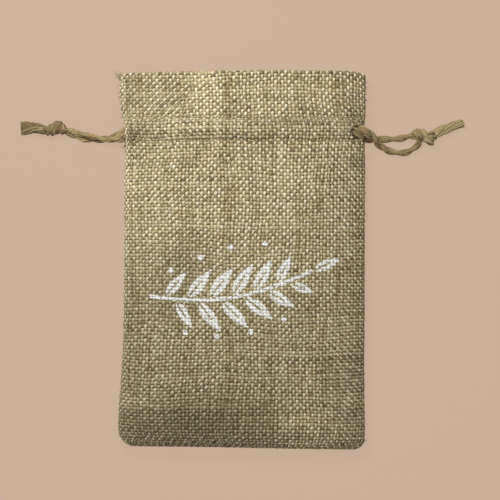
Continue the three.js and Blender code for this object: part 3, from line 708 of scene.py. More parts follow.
class Wall:
    """The middle of the front or back wall's cloth, from the bottom fold up to the mouth, over its fold
    and down inside to the hem's edge: points and outward normals, by share across and distance along."""

    FOLD_ROUND = 0.0004  # radius of the mouth's fold at the cloth's middle
    FOLD_TURNS = np.radians([36, 72, 108, 144])  # where the rows on that fold lie
    LOW_ROWS = 41  # rows in the bottom fold's round
    ROW_STEP = 0.0005  # from row to row above it
    COLUMNS = 241
    FINE = 700  # points of a row before its columns are spaced
    CALM = 0.08  # the share of the half width at each side edge where the fine relief fades
    SMOOTHINGS = 6  # of the normals

    def __init__(self, is_front):
        self.is_front = is_front
        low = BOTTOM + BOTTOM_ROUND * np.linspace(0, 1, self.LOW_ROWS) ** 2
        rim = TOP - SUNK - self.FOLD_ROUND
        levels = np.concatenate([low, np.arange(low[-1] + self.ROW_STEP, rim, self.ROW_STEP), [rim]])
        outer, normals = self.skin(levels)
        sunk = SUNK - SIDE_OUT * np.abs(normals[..., :1])
        rows, facing, at = [outer - sunk * normals], [normals], [levels]
        top, top_normal = outer[-1], normals[-1]
        up = np.array([0.0, 1.0, 0.0])
        for turn in self.FOLD_TURNS:
            deep = SUNK + self.FOLD_ROUND * (1 - np.cos(turn))
            rows.append((top - deep * top_normal + self.FOLD_ROUND * np.sin(turn) * up)[None])
            facing.append((top_normal * np.cos(turn) + up * np.sin(turn))[None])
            at.append([rim])
        inward = levels[::-1][: np.sum(levels > HEM_EDGE)]
        deep = SUNK + 2 * self.FOLD_ROUND + tunnel_depth(inward)
        count = len(inward)
        rows.append(outer[::-1][:count] - deep[:, None, None] * normals[::-1][:count])
        facing.append(-normals[::-1][:count])
        at.append(inward)
        self.points = np.concatenate(rows)
        self.normals = unit(np.concatenate(facing))
        self.levels = np.concatenate(at)
        self.along = along_of(self.points[:, self.COLUMNS // 2])
        self.top = len(levels)
        self.mouth = self.along[self.top + 1]
        self.width = along_of(self.points[self.top // 2])[-1]

    def skin(self, levels):
        """The outer surface and its normals, with the columns evenly spaced along each level."""
        shares = 0.5 - 0.5 * np.cos(np.linspace(0, math.pi, self.FINE))
        left, right = left_edge(levels)[:, None], right_edge(levels)[:, None]
        x = left + (right - left) * shares
        y = np.repeat(levels[:, None], self.FINE, axis=1)
        front, back = heights(x, y)
        calm = eased((1 - np.abs(2 * shares - 1)) / self.CALM)
        if self.is_front:
            z = front + sewn(x, y) * calm
        else:
            z = np.maximum(0, back - sewn(x, y) * calm)
        fine = np.stack([x, wandered(x, y), z], axis=2)
        even = np.linspace(0, 1, self.COLUMNS)
        grid = np.empty((len(levels), self.COLUMNS, 3))
        for k, line in enumerate(fine):
            run = along_of(line)
            for axis in range(3):
                grid[k, :, axis] = np.interp(even * run[-1], run, line[:, axis])
        facing = np.cross(np.gradient(grid, axis=1), np.gradient(grid, axis=0))
        return grid, unit(softened(unit(facing if self.is_front else -facing), self.SMOOTHINGS))

    def place(self, across, along):
        """One point of it, with its normal and level."""
        return (part[0] for part in self.at(np.array([across]), np.array([along])))

    def at(self, across, along):
        """Points, normals and levels at shares across and distances along."""
        row = np.interp(along, self.along, np.arange(len(self.along)))
        column = np.clip(across, 0, 1) * (self.COLUMNS - 1)
        r = np.clip(row.astype(int), 0, len(self.along) - 2)
        c = np.clip(column.astype(int), 0, self.COLUMNS - 2)
        fr, fc = row - r, column - c

        def mixed(grid):
            tail = (1,) * (grid.ndim - 2)
            a, b = fr.reshape(fr.shape + tail), fc.reshape(fc.shape + tail)
            low = grid[r, c] * (1 - b) + grid[r, c + 1] * b
            high = grid[r + 1, c] * (1 - b) + grid[r + 1, c + 1] * b
            return low * (1 - a) + high * a

        level = np.interp(row, np.arange(len(self.along)), self.levels)
        return mixed(self.points), unit(mixed(self.normals)), level


def noise(shape, spacing):
    """Smooth random numbers around 0 along the last axis. Spacing is in steps of that axis."""
    count = int(shape[-1] / spacing) + 4
    knots = RNG.normal(0, 1, shape[:-1] + (count,))
    place = np.arange(shape[-1]) / spacing + RNG.uniform(0, 1, shape[:-1] + (1,))
    i = place.astype(int)
    t = eased(place - i)
    low = np.take_along_axis(knots, i, axis=-1)
    high = np.take_along_axis(knots, i + 1, axis=-1)
    return low * (1 - t) + high * t


def varied(shape, change):
    """Smooth random numbers for a pair of size and spacing."""
    size, spacing = change
    return size * noise(shape, spacing)


def uneven(size, counts, length):
    """Random numbers around 0, each repeated so that a row of them gets this long."""
    return np.repeat(size * RNG.normal(0, 1, counts), length // counts[1], axis=1)


class Strands:
    """Yarns, plies or fibres of one piece: the points that each follows, with a facing direction for its
    flat side, its half width, its tone, which is dark below 0 and pale above, its ink and its painted shade."""

    def __init__(self):
        self.parts = []

    def add(self, points, facing, *values):
        """The values are the half width, tone, ink and painted shade, as far as they differ from 0."""
        count = len(points)
        values = [np.broadcast_to(value, count) for value in (*values, 0.0, 0.0, 0.0)[:4]]
        self.parts.append([np.asarray(points, float), np.broadcast_to(facing, (count, 3)), *values])

    def column(self, k):
        return np.concatenate([part[k] for part in self.parts])

    def counts(self):
        return np.array([len(part[0]) for part in self.parts])


class Steps:
    """Short ways to add nodes to a node tree."""

    def __init__(self, tree):
        self.tree = tree
        self.link = tree.links.new

    def feed(self, socket, value):
        if isinstance(value, bpy.types.NodeSocket):
            self.link(value, socket)
        else:
            socket.default_value = value

    def add(self, kind, **values):
        made = self.tree.nodes.new(kind)
        for name, value in values.items():
            self.feed(made.inputs[name.replace("_", " ")], value)
        return made

    def maths(self, operation, *values, kind="ShaderNodeMath"):
        made = self.tree.nodes.new(kind)
        made.operation = operation
        for socket, value in zip(made.inputs, values):
            self.feed(socket, value)
        return made.outputs[0]

    def vector_maths(self, operation, *values):
        return self.maths(operation, *values, kind="ShaderNodeVectorMath")

    def span(self, value, low, high, start=0.0, end=1.0):
        """Maps a span of values to another, and holds the ends."""
        made = self.add(
            "ShaderNodeMapRange", Value=value, From_Min=low, From_Max=high, To_Min=start, To_Max=end
        )
        return made.outputs["Result"]

    def mix(self, share, first, second, blend="MIX"):
        made = self.tree.nodes.new("ShaderNodeMix")
        made.data_type = "RGBA"
        made.blend_type = blend
        for name, value in (("Factor", share), ("A", first), ("B", second)):
            self.feed(next(socket for socket in made.inputs if socket.name == name and socket.enabled), value)
        return next(socket for socket in made.outputs if socket.enabled)

    def attribute(self, name):
        made = self.tree.nodes.new("ShaderNodeAttribute")
        made.attribute_name = name
        return made.outputs["Fac"]

    def noise(self, place, scale, detail=2.0, roughness=0.5):
        made = self.add("ShaderNodeTexNoise", Vector=place, Scale=scale, Detail=detail, Roughness=roughness)
        return made.outputs["Fac"]


def yarn_tree():
    """Sweeps an oval along each line of a mesh. The lines carry their facing and half width."""
    tree = bpy.data.node_groups.new("Yarn along its route", "GeometryNodeTree")
    socket = tree.interface.new_socket
    for label, kind in (
        ("Routes", "Geometry"), ("Sides", "Int"), ("Flatness", "Float"), ("Finish", "Material")
    ):
        socket(label, in_out="INPUT", socket_type="NodeSocket" + kind)
    socket("Yarns", in_out="OUTPUT", socket_type="NodeSocketGeometry")
    steps = Steps(tree)
    given = steps.add("NodeGroupInput").outputs
    facing = steps.add("GeometryNodeInputNamedAttribute", Name="facing")
    facing.data_type = "FLOAT_VECTOR"
    half_width = steps.add("GeometryNodeInputNamedAttribute", Name="half_width")
    half_width.data_type = "FLOAT"
    curves = steps.add("GeometryNodeMeshToCurve", Mesh=given["Routes"])
    turned = steps.add("GeometryNodeSetCurveNormal", Curve=curves.outputs["Curve"])
    turned.mode = "FREE"
    steps.link(facing.outputs["Attribute"], turned.inputs["Normal"])
    circle = steps.add("GeometryNodeCurvePrimitiveCircle", Resolution=given["Sides"], Radius=1.0)
    shape = steps.add("ShaderNodeCombineXYZ", X=given["Flatness"], Y=1.0, Z=1.0)
    oval = steps.add("GeometryNodeTransform", Geometry=circle.outputs["Curve"], Scale=shape.outputs["Vector"])
    swept = steps.add(
        "GeometryNodeCurveToMesh",
        Curve=turned.outputs["Curve"],
        Profile_Curve=oval.outputs["Geometry"],
        Scale=half_width.outputs["Attribute"],
        Fill_Caps=True,
    )
    smooth = steps.add("GeometryNodeSetShadeSmooth", Geometry=swept.outputs["Mesh"])
    whole = steps.add("GeometryNodeRealizeInstances", Geometry=smooth.outputs["Geometry"])
    finish = steps.add(
        "GeometryNodeSetMaterial", Geometry=whole.outputs["Geometry"], Material=given["Finish"]
    )
    steps.add("NodeGroupOutput", Yarns=finish.outputs["Geometry"])
    return tree


def set_inputs(modifier, **values):
    """Sets a node modifier's named inputs."""
    for item in modifier.node_group.interface.items_tree:
        if item.item_type == "SOCKET" and item.in_out == "INPUT" and item.name in values:
            modifier[item.identifier] = values[item.name]


def linked(name, data):
    made = bpy.data.objects.new(name, data)
    bpy.context.scene.collection.objects.link(made)
    return made


def store(mesh, label, values):
    """Sets an attribute of a mesh's points: numbers or vectors."""
    kind, key = ("FLOAT_VECTOR", "vector") if values.ndim == 2 else ("FLOAT", "value")
    held = mesh.attributes.get(label) or mesh.attributes.new(label, kind, "POINT")
    held.data.foreach_set(key, values.astype(np.float32).ravel())


def map_out(mesh, baked, fibre):
    """Two UV maps: one for baking and one for the fibres."""
    for label, places in (("OFBake", baked), ("Fibre", fibre)):
        mesh.uv_layers.new(name=label).data.foreach_set("uv", places.astype(np.float32).ravel())
    mesh.uv_layers["OFBake"].active_render = True


def plain_mesh(maker, name):
    """The result of an object's modifiers as a plain mesh. The object itself is removed."""
    whole = maker.evaluated_get(bpy.context.evaluated_depsgraph_get())
    mesh = bpy.data.meshes.new_from_object(whole)
    mesh.name = name
    bpy.data.objects.remove(maker)
    return mesh


def strand_mesh(name, strands, sides, flatness, finish):
    """All strands of a piece, swept along their routes by the node tree."""
    counts = strands.counts()
    points = strands.column(0)
    starts = np.cumsum(counts) - counts
    follows = np.setdiff1d(np.arange(len(points)), starts)
    routes = bpy.data.meshes.new(name + "_routes")
    routes.vertices.add(len(points))
    routes.vertices.foreach_set("co", points.astype(np.float32).ravel())
    routes.edges.add(len(follows))
    routes.edges.foreach_set("vertices", np.stack([follows - 1, follows], axis=1).ravel())
    for k, label in enumerate(("facing", "half_width", "tone", "ink", "painted_shade")):
        store(routes, label, strands.column(k + 1))
    maker = linked(name + "_routes", routes)
    modifier = maker.modifiers.new("Yarn", "NODES")
    modifier.node_group = YARN_TREE
    set_inputs(modifier, Sides=sides, Flatness=flatness, Finish=finish)
    mesh = plain_mesh(maker, name)
    for label in ("facing", "half_width"):
        mesh.attributes.remove(mesh.attributes[label])
    lay_out(mesh, points, counts, sides)
    return mesh


def lay_out(mesh, points, counts, sides):
    """Maps the strands: side by side for baking, and for the fibres the millimetres along a strand and
    the turns round it."""
    along = along_of(points)
    along = along - np.repeat(along[np.cumsum(counts) - counts], counts)
    which = np.repeat(np.arange(len(counts)), counts)
    corner = np.empty(len(mesh.loops), np.int32)
    mesh.loops.foreach_get("vertex_index", corner)
    sizes = np.empty(len(mesh.polygons), np.int32)
    mesh.polygons.foreach_get("loop_total", sizes)
    face = np.repeat(np.arange(len(sizes)), sizes)
    side, ring = corner % sides, corner // sides
    last, first = np.zeros(len(sizes), bool), np.zeros(len(sizes), bool)
    last[face[side == sides - 1]] = True
    first[face[side == 0]] = True
    wraps = (last & first & (sizes == 4))[face] & (side == 0)
    turn = (side + sides * wraps) / sides
    row = (which[ring] + ROW_EDGE + (1 - 2 * ROW_EDGE) * turn) / len(counts)
    baked = np.stack([MAP_EDGE + (1 - 2 * MAP_EDGE) * along[ring] / along.max(), row], axis=1)
    map_out(mesh, baked, np.stack([MILLIMETRES * along[ring] + STRANDS_APART * which[ring], turn], axis=1))


def piece(name, mesh, node):
    """A finished piece of the pouch, and the CAD node that it stands for."""
    made = linked(name, mesh)
    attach(made, "root")
    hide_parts(node)
    return made


# Materials
STREAK_CHANGE = 0.22  # how fast the fibres' streaks change along a strand
STREAK_SCALE = 3.4
STREAK_DETAIL = (4.0, 0.62)
FLECK_SCALE = 900.0
PATCH_SCALE = 420.0
PATCH_SPAN = (0.42, 0.68)
TONE_COUNTS = 0.22  # how much a strand's tone shifts its shade
MIDDLE_SPAN = (0.25, 0.5)  # the shades from the dark to the middle colour, and from there to the pale one
PALE_SPAN = (0.5, 0.78)
ROUGH_SPAN = (0.95, 0.6)
BUMP = {"Strength": 0.9, "Distance": 0.00012}
INK_SPAN = (0.25, 0.6)
RUB_SCALE = 1500.0
RUB_DETAIL = 3.0
RUB_SPAN = (0.46, 0.62)
RUBBED = 0.3


def srgb(red, green, blue):
    """A colour as the screen shows it, as the linear colour that a shader takes."""

    def linear(value):
        value /= 255
        return value / 12.92 if value <= 0.04045 else ((value + 0.055) / 1.055) ** 2.4

    return (linear(red), linear(green), linear(blue), 1.0)


def shader_group(name, colours, values, outputs):
    """An empty shader node group with named inputs and outputs, and its steps, input and output nodes."""
    group = bpy.data.node_groups.new(name, "ShaderNodeTree")
    socket = group.interface.new_socket
    for label in colours:
        socket(label, in_out="INPUT", socket_type="NodeSocketColor")
    for label, value in values:
        socket(label, in_out="INPUT", socket_type="NodeSocketFloat").default_value = value
    for label, kind in outputs:
        socket(label, in_out="OUTPUT", socket_type=kind)
    steps = Steps(group)
    return group, steps, group.nodes.new("NodeGroupInput").outputs, group.nodes.new("NodeGroupOutput").inputs


def fibre_group():
    """Twisted bast fibres: streaks that wind round a strand, the strand's own tone, flecks and browner
    patches."""
    group, steps, given, made = shader_group(
        "Jute fibres",
        ("Pale", "Middle", "Dark", "Brown"),
        (("Twist", 0.3), ("Fibre size", 1.0), ("Flecks", 0.5), ("Browning", 0.5)),
        (("Color", "NodeSocketColor"), ("Roughness", "NodeSocketFloat"), ("Height", "NodeSocketFloat")),
    )
    place = steps.add("ShaderNodeUVMap")
    place.uv_map = "Fibre"
    parts = steps.add("ShaderNodeSeparateXYZ", Vector=place.outputs["UV"])
    along, turn = parts.outputs["X"], parts.outputs["Y"]
    wound = steps.maths("MULTIPLY_ADD", along, given["Twist"], turn)
    angle = steps.maths("MULTIPLY", wound, 2 * math.pi)
    round_it = steps.add(
        "ShaderNodeCombineXYZ",
        X=steps.maths("MULTIPLY", along, STREAK_CHANGE),
        Y=steps.maths("COSINE", angle),
        Z=steps.maths("SINE", angle),
    )
    scale = steps.maths("MULTIPLY", given["Fibre size"], STREAK_SCALE)
    streaks = steps.noise(round_it.outputs["Vector"], scale, *STREAK_DETAIL)
    body = steps.add("ShaderNodeTexCoord").outputs["Object"]
    fleck = steps.maths("SUBTRACT", steps.noise(body, FLECK_SCALE), 0.5)
    shade = steps.maths("MULTIPLY_ADD", steps.attribute("tone"), TONE_COUNTS, streaks)
    shade = steps.maths("MULTIPLY_ADD", fleck, given["Flecks"], shade)
    lower = steps.mix(steps.span(shade, *MIDDLE_SPAN), given["Dark"], given["Middle"])
    upper = steps.mix(steps.span(shade, *PALE_SPAN), lower, given["Pale"])
    patches = steps.span(steps.noise(body, PATCH_SCALE), *PATCH_SPAN)
    patches = steps.maths("MULTIPLY", patches, given["Browning"])
    upper = steps.mix(patches, upper, given["Brown"], "MULTIPLY")
    # Painted shade darkens the colour, a little browner, and painted light makes it paler where the value is
    # negative
    kept = steps.vector_maths("MULTIPLY_ADD", steps.attribute("painted_shade"), PAINTED_SHADE_TAKES, (1.0, 1.0, 1.0))
    steps.link(steps.vector_maths("MULTIPLY", upper, kept), made["Color"])
    steps.link(steps.span(streaks, 0.0, 1.0, *ROUGH_SPAN), made["Roughness"])
    steps.link(streaks, made["Height"])
    return group


def print_group():
    """White ink that lies on the yarns and has rubbed off a little in places."""
    group, steps, given, made = shader_group(
        "Rubbed print",
        ("Color", "Ink"),
        (("Wear", 0.5),),
        (("Color", "NodeSocketColor"),),
    )
    body = steps.add("ShaderNodeTexCoord").outputs["Object"]
    rubbed = steps.span(steps.noise(body, RUB_SCALE, RUB_DETAIL), *RUB_SPAN)
    rubbed = steps.maths("MULTIPLY", rubbed, given["Wear"])
    cover = steps.maths("SUBTRACT", steps.span(steps.attribute("ink"), *INK_SPAN), rubbed)
    steps.link(steps.mix(steps.span(cover, 0.0, 1.0), given["Color"], given["Ink"]), made["Color"])
    return group


def fibre_material(name, pale, middle, dark, twist, size=1.0, flecks=0.5, browning=0.5, printed=False):
    """A finish of twisted fibres."""
    made = bpy.data.materials.new(name)
    made.use_nodes = True
    steps = Steps(made.node_tree)
    shader = made.node_tree.nodes["Principled BSDF"]
    for label, value in (("Sheen Weight", 0.12), ("Sheen Roughness", 0.6), ("Specular IOR Level", 0.3)):
        shader.inputs[label].default_value = value
    fibres = steps.add("ShaderNodeGroup")
    fibres.node_tree = FIBRES
    for label, value in (
        ("Pale", srgb(*pale)), ("Middle", srgb(*middle)), ("Dark", srgb(*dark)), ("Brown", BROWNER),
        ("Twist", twist), ("Fibre size", size), ("Flecks", flecks), ("Browning", browning),
    ):
        fibres.inputs[label].default_value = value
    colour = fibres.outputs["Color"]
    if printed:
        ink = steps.add("ShaderNodeGroup")
        ink.node_tree = PRINT
        for label, value in (("Ink", WHITE_INK), ("Wear", RUBBED), ("Color", colour)):
            steps.feed(ink.inputs[label], value)
        colour = ink.outputs["Color"]
    bump = steps.add("ShaderNodeBump", Height=fibres.outputs["Height"], **BUMP)
    steps.link(colour, shader.inputs["Base Color"])
    steps.link(fibres.outputs["Roughness"], shader.inputs["Roughness"])
    steps.link(bump.outputs["Normal"], shader.inputs["Normal"])
    return made


YARN_TREE = yarn_tree()
FIBRES = fibre_group()
PRINT = print_group()
BROWNER = (1.0, 0.91, 0.74, 1.0)
WHITE_INK = srgb(250, 250, 246)
WARP = fibre_material(
    "Lengthwise jute", (246, 238, 209), (202, 190, 147), (134, 117, 75), 0.35, printed=True
)
WEFT = fibre_material(
    "Crosswise jute", (206, 194, 151), (168, 155, 112), (116, 99, 60), 0.35, printed=True
)
TWINE = fibre_material("Jute twine", (202, 184, 137), (164, 144, 101), (120, 98, 62), 0.12, 1.3, 0.3, 1.0)
LOOSE = fibre_material("Loose fibre", (204, 187, 139), (164, 145, 101), (114, 94, 60), 0.05, 1.5, 0.3, 0.8)
# The sheet is the cloth under the yarns, and its darker colours are painted shade for the gaps between them
GAP_SHADE_GROUND = fibre_material(
    "Jute under the yarns, painted dark for gap shade", (160, 136, 92), (136, 112, 71), (106, 84, 49), 0.0, printed=True
)
THREAD = fibre_material("Sewing thread", (224, 206, 160), (184, 160, 112), (130, 104, 64), 0.5, 2.0)


# Camera, light and floor
VIEW_WIDTH = 0.200  # what the photo's 500 pixels take in, at the pouch's middle height
VIEW_MIDDLE = (0.0031, 0.0040, 0.0100)
LENS = 100
SENSOR = 36
NEAREST = 0.01
FLOOR_REACH = 30.0
FLOOR_GLOW = srgb(203, 176, 154)
FLOOR_SHINES = 0.93
FLOOR_COLOUR = (0.055, 0.040, 0.030, 1.0)
KEY_PLACE = (-0.09, 0.17, 0.26)
KEY_SIZE = 0.10
KEY_POWER = 0.80
FILL = 0.29


def studio():
    """A camera straight above, a plain pale floor, one soft light from the upper left and light all round."""
    camera = linked("Camera", bpy.data.cameras.new("Camera"))
    camera.data.lens = LENS
    camera.data.sensor_width = SENSOR
    camera.data.clip_start = NEAREST
    x, y, z = VIEW_MIDDLE
    camera.location = (x, y, z + VIEW_WIDTH * LENS / SENSOR)
    bpy.context.scene.camera = camera
    mesh = bpy.data.meshes.new("floor")
    corners = [(FLOOR_REACH * x, FLOOR_REACH * y, 0) for x, y in ((-1, -1), (1, -1), (1, 1), (-1, 1))]
    mesh.from_pydata(corners, [], [(0, 1, 2, 3)])
    paper = bpy.data.materials.new("Plain paper")
    paper.use_nodes = True
    for label, value in (
        ("Base Color", FLOOR_COLOUR),
        ("Roughness", 1.0),
        ("Specular IOR Level", 0.0),
        ("Emission Color", FLOOR_GLOW),
        ("Emission Strength", FLOOR_SHINES),
    ):
        paper.node_tree.nodes["Principled BSDF"].inputs[label].default_value = value
    mesh.materials.append(paper)
    linked("floor", mesh)
    key = linked("Key", bpy.data.lights.new("Key", "AREA"))
    key.data.shape = "DISK"
    key.data.size = KEY_SIZE
    key.data.energy = KEY_POWER
    key.location = KEY_PLACE
    key.rotation_euler = Vector(KEY_PLACE).to_track_quat("Z", "Y").to_euler()
    world = bpy.data.worlds.new("Room")
    world.use_nodes = True
    light = world.node_tree.nodes["Background"].inputs
    light["Color"].default_value = (1, 1, 1, 1)
    light["Strength"].default_value = FILL
    bpy.context.scene.world = world
    bpy.context.scene.view_settings.view_transform = "Standard"


# Strings
def smooth_path(points):
    """A smooth line through points, with points at an even step along it."""
    points = np.array(points, float)
    padded = np.concatenate([[2 * points[0] - points[1]], points, [2 * points[-1] - points[-2]]])
    fine = []
    t = np.linspace(0, 1, CURVE_STEPS, endpoint=False)[:, None]
    for before, start, end, after in zip(padded, padded[1:], padded[2:], padded[3:]):
        gaps = [math.sqrt(np.linalg.norm(b - a)) for a, b in ((before, start), (start, end), (end, after))]
        out = (start - before) / gaps[0] - (end - before) / (gaps[0] + gaps[1]) + (end - start) / gaps[1]
        home = (end - start) / gaps[1] - (after - start) / (gaps[1] + gaps[2]) + (after - end) / gaps[2]
        out, home = out * gaps[1], home * gaps[1]
        curved = (2 * start - 2 * end + out + home) * t**3 + (3 * end - 3 * start - 2 * out - home) * t**2
        fine.append(curved + out * t + start)
    fine = np.concatenate(fine + [points[-1:]])
    run = along_of(fine)
    places = np.linspace(0, run[-1], round(run[-1] / PATH_STEP) + 1)
    return np.stack([np.interp(places, run, fine[:, axis]) for axis in range(3)], axis=1)


def off_table(points, height):
    """Keeps points at least this high over the table."""
    points[..., 2] = np.maximum(points[..., 2], height)


def frames(path, across, loop):
    """Two directions across a path at each point, carried along it without turning."""
    if loop:
        tangents = unit(np.roll(path, -1, axis=0) - np.roll(path, 1, axis=0))
    else:
        tangents = unit(np.gradient(path, axis=0))
    first = []
    for tangent in tangents:
        across = across - tangent * (across @ tangent)
        across = across / np.linalg.norm(across)
        first.append(across)
    return np.array(first), np.cross(tangents, first)


def lay_plies(strands, path, diameter, lay, start=0.0, tone=0.0, axis=None, fuller=0.0):
    """Two plies twisted round each other along a path. A closed loop gives its axis."""
    up, aside = frames(path, np.array((0.0, 0.0, 1.0) if axis is None else axis), axis is not None)
    run = along_of(path)
    count = (len(path),)
    swell = 1 + fuller + varied(count, PLY_SWELL) + varied(count, PLY_RIPPLE)
    for k in range(2):
        turn = start + 2 * math.pi * (run / lay + k / 2) + varied(count, PLY_SLIP)
        out = up * np.cos(turn)[:, None] + aside * np.sin(turn)[:, None]
        half = diameter * PLY_HALF * swell * (1 + varied(count, PLY_UNEVEN))
        middle = path + out * (diameter * PLY_OUT * swell)[:, None]
        strands.add(middle, out, half * PLY_CORE, tone - CORE_DARKER)
        beside = np.cross(unit(np.gradient(middle, axis=0)), out)
        shade = tone + varied(count, PLY_SHADE)
        for bundle in range(PLY_FIBRES):
            angle = 2 * math.pi * (bundle / PLY_FIBRES - run / lay * BUNDLE_TURN) + varied(count, BUNDLE_SLIP)
            aim = out * np.cos(angle)[:, None] + beside * np.sin(angle)[:, None]
            place = middle + aim * (half * (BUNDLE_OUT + varied(count, BUNDLE_LIFT)))[:, None]
            width = BUNDLE_HALF * (1 + fuller) * np.clip(1 + varied(count, BUNDLE_UNEVEN), *BUNDLE_LIMITS)
            off_table(place, width)
            strands.add(place, aim, width, shade + RNG.normal(*BUNDLE_TONES) + varied(count, BUNDLE_SHADE))


def lane(is_front, y, direction):
    """Points across a tunnel, from one side to the other."""
    x = np.arange(-HIDDEN_HALF, HIDDEN_HALF + HIDDEN_STEP / 2, HIDDEN_STEP)
    front, back = heights(x, np.full_like(x, y))
    sunk = CLOTH + tunnel_depth(y) / 2
    return np.stack([x, np.full_like(x, y), front - sunk if is_front else back + sunk], axis=1)[::direction]


LEFT_ROUTE = [
    *LEFT_FROM_KNOT,
    *lane(False, UPPER_LANE, 1),
    *LEFT_STRING_TURN,
    *lane(True, LOWER_LANE, -1),
    *LEFT_TO_KNOT,
]
RIGHT_ROUTE = [
    *RIGHT_FROM_KNOT,
    *lane(True, UPPER_LANE, -1),
    *RIGHT_STRING_TURN,
    *lane(False, LOWER_LANE, 1),
    *RIGHT_TO_KNOT,
]


def string_piece(name, route, knot, mouth, tone, node):
    """A drawstring, from inside its knot round the pouch and back. It opens up a little round its
    tunnels' mouth. Returns the piece and its path."""
    path = smooth_path([knot, *route, knot])
    fuller = MOUTH_FULLER * np.exp(-(((path[:, 0] - mouth) / MOUTH_REACH) ** 2))
    off_table(path, STRING * (PLY_HALF + PLY_OUT) * (1 + fuller))
    strands = Strands()
    lay_plies(strands, path, STRING, LAY, tone=tone, fuller=fuller)
    mesh = strand_mesh(name, strands, sides=6, flatness=0.92, finish=TWINE)
    return piece(name, mesh, node), path


def knot_piece(name, turns, tone, node):
    """A stopper knot: loops of two-ply twine round a core."""
    strands = Strands()
    around = np.linspace(0, 2 * math.pi, LOOP_POINTS)
    for k, (x, y, z, angle, half, tall, thick) in enumerate(zip(*turns.values())):
        swing = math.radians(angle)
        off = half * np.cos(around)
        path = [x + off * math.sin(swing), y + off * math.cos(swing), z + tall * np.sin(around)]
        path = np.stack(path, axis=1)
        whole = along_of(path)[-1]
        lay = whole / max(1, round(whole / LAY * 2)) * 2
        axis = (math.cos(swing), -math.sin(swing), 0)
        lay_plies(strands, path, thick, lay, start=LOOP_SHIFT * k, tone=tone, axis=axis)
    share = np.linspace(-1, 1, CORE_POINTS)
    middle = [np.mean(turns[axis]) for axis in "xyz"]
    core = share[:, None] * np.array([np.ptp(turns["x"]) / 2, 0, 0]) + middle
    strands.add(core, (0, 0, 1), CORE_HALF * np.sqrt(1 - CORE_TAPER * share**2), CORE_TONE)
    mesh = strand_mesh(name, strands, sides=6, flatness=0.95, finish=TWINE)
    return piece(name, mesh, node)


def tail_piece(name, rows, bundles, fibres, tone, node):
    """The string's two frayed ends: four plies of fibres that open out into a brush past the knot."""
    middle = smooth_path(np.stack([rows["x"], rows["y"], rows["z"]], axis=1))
    count = (len(middle),)
    share = np.linspace(0, 1, len(middle))
    marks = np.linspace(0, 1, len(rows["x"]))
    spread, tall = (np.interp(share, marks, rows[key]) for key in ("half", "tall"))
    forward = unit(np.gradient(middle, axis=0))
    aside = unit(np.cross([0, 0, 1], forward))
    up = np.cross(forward, aside)

    def off(angle, far_aside, far_up):
        """Steps off the tail's middle line at an angle round it."""
        return aside * (far_aside * np.cos(angle))[:, None] + up * (far_up * np.sin(angle))[:, None]

    strands = Strands()
    body = int(len(middle) * TAIL_BODY)
    for tip_angle, size in bundles:
        swing = math.radians(tip_angle) + TAIL_TWIST * (1 - share)
        centre = middle + off(swing, PLIES_ASIDE * spread, PLIES_UP * tall)
        shade = tone + RNG.normal(0, TAIL_TONES)
        half = TAIL_CORE * size * np.minimum(spread, tall)
        strands.add(centre[:body], (0, 0, 1), half[:body], shade - CORE_DARKER)
        for k in range(fibres):
            radius = size * math.sqrt((k + 0.5) / fibres)
            angle = k * GOLDEN_ANGLE + FIBRE_TWIST * (1 - share) ** FIBRE_EARLY + varied(count, FIBRE_SLIP)
            reach = radius * (1 + share**2 * varied(count, FIBRE_OPENS))
            where = centre + off(angle, reach * spread, reach * tall)
            off_table(where, FIBRE_HALF)
            shorter = FIBRE_SHORTER[0] * abs(RNG.normal()) + FIBRE_SHORTER[1] * radius
            ends = int(len(middle) * (1 - shorter))
            width = FIBRE_HALF * (FIBRE_TAPER[0] - FIBRE_TAPER[1] * share) * RNG.uniform(*FIBRE_SIZES)
            strands.add(where[:ends], (0, 0, 1), width[:ends], shade + RNG.normal(*FIBRE_TONES))
    mesh = strand_mesh(name, strands, sides=5, flatness=0.85, finish=LOOSE)
    return piece(name, mesh, node)


# The cloth
def in_slit(points, level, is_front, margin=0.0):
    """Whether places on a wall lie in the openings at the sides, where the strings pass."""
    near = np.abs(level - TUNNEL_MIDDLE) < TUNNEL_HALF - ROW_KEPT + margin
    left = points[..., 0] - left_edge(level) < SLIT + margin
    right = right_edge(level) - points[..., 0] < SLIT + margin
    if is_front:
        return near & ((left & (points[..., 2] < SLIT_LIP)) | (right & (level < SLIT_TOP)))
    return near & (left | right) & (points[..., 2] > CLOTH)


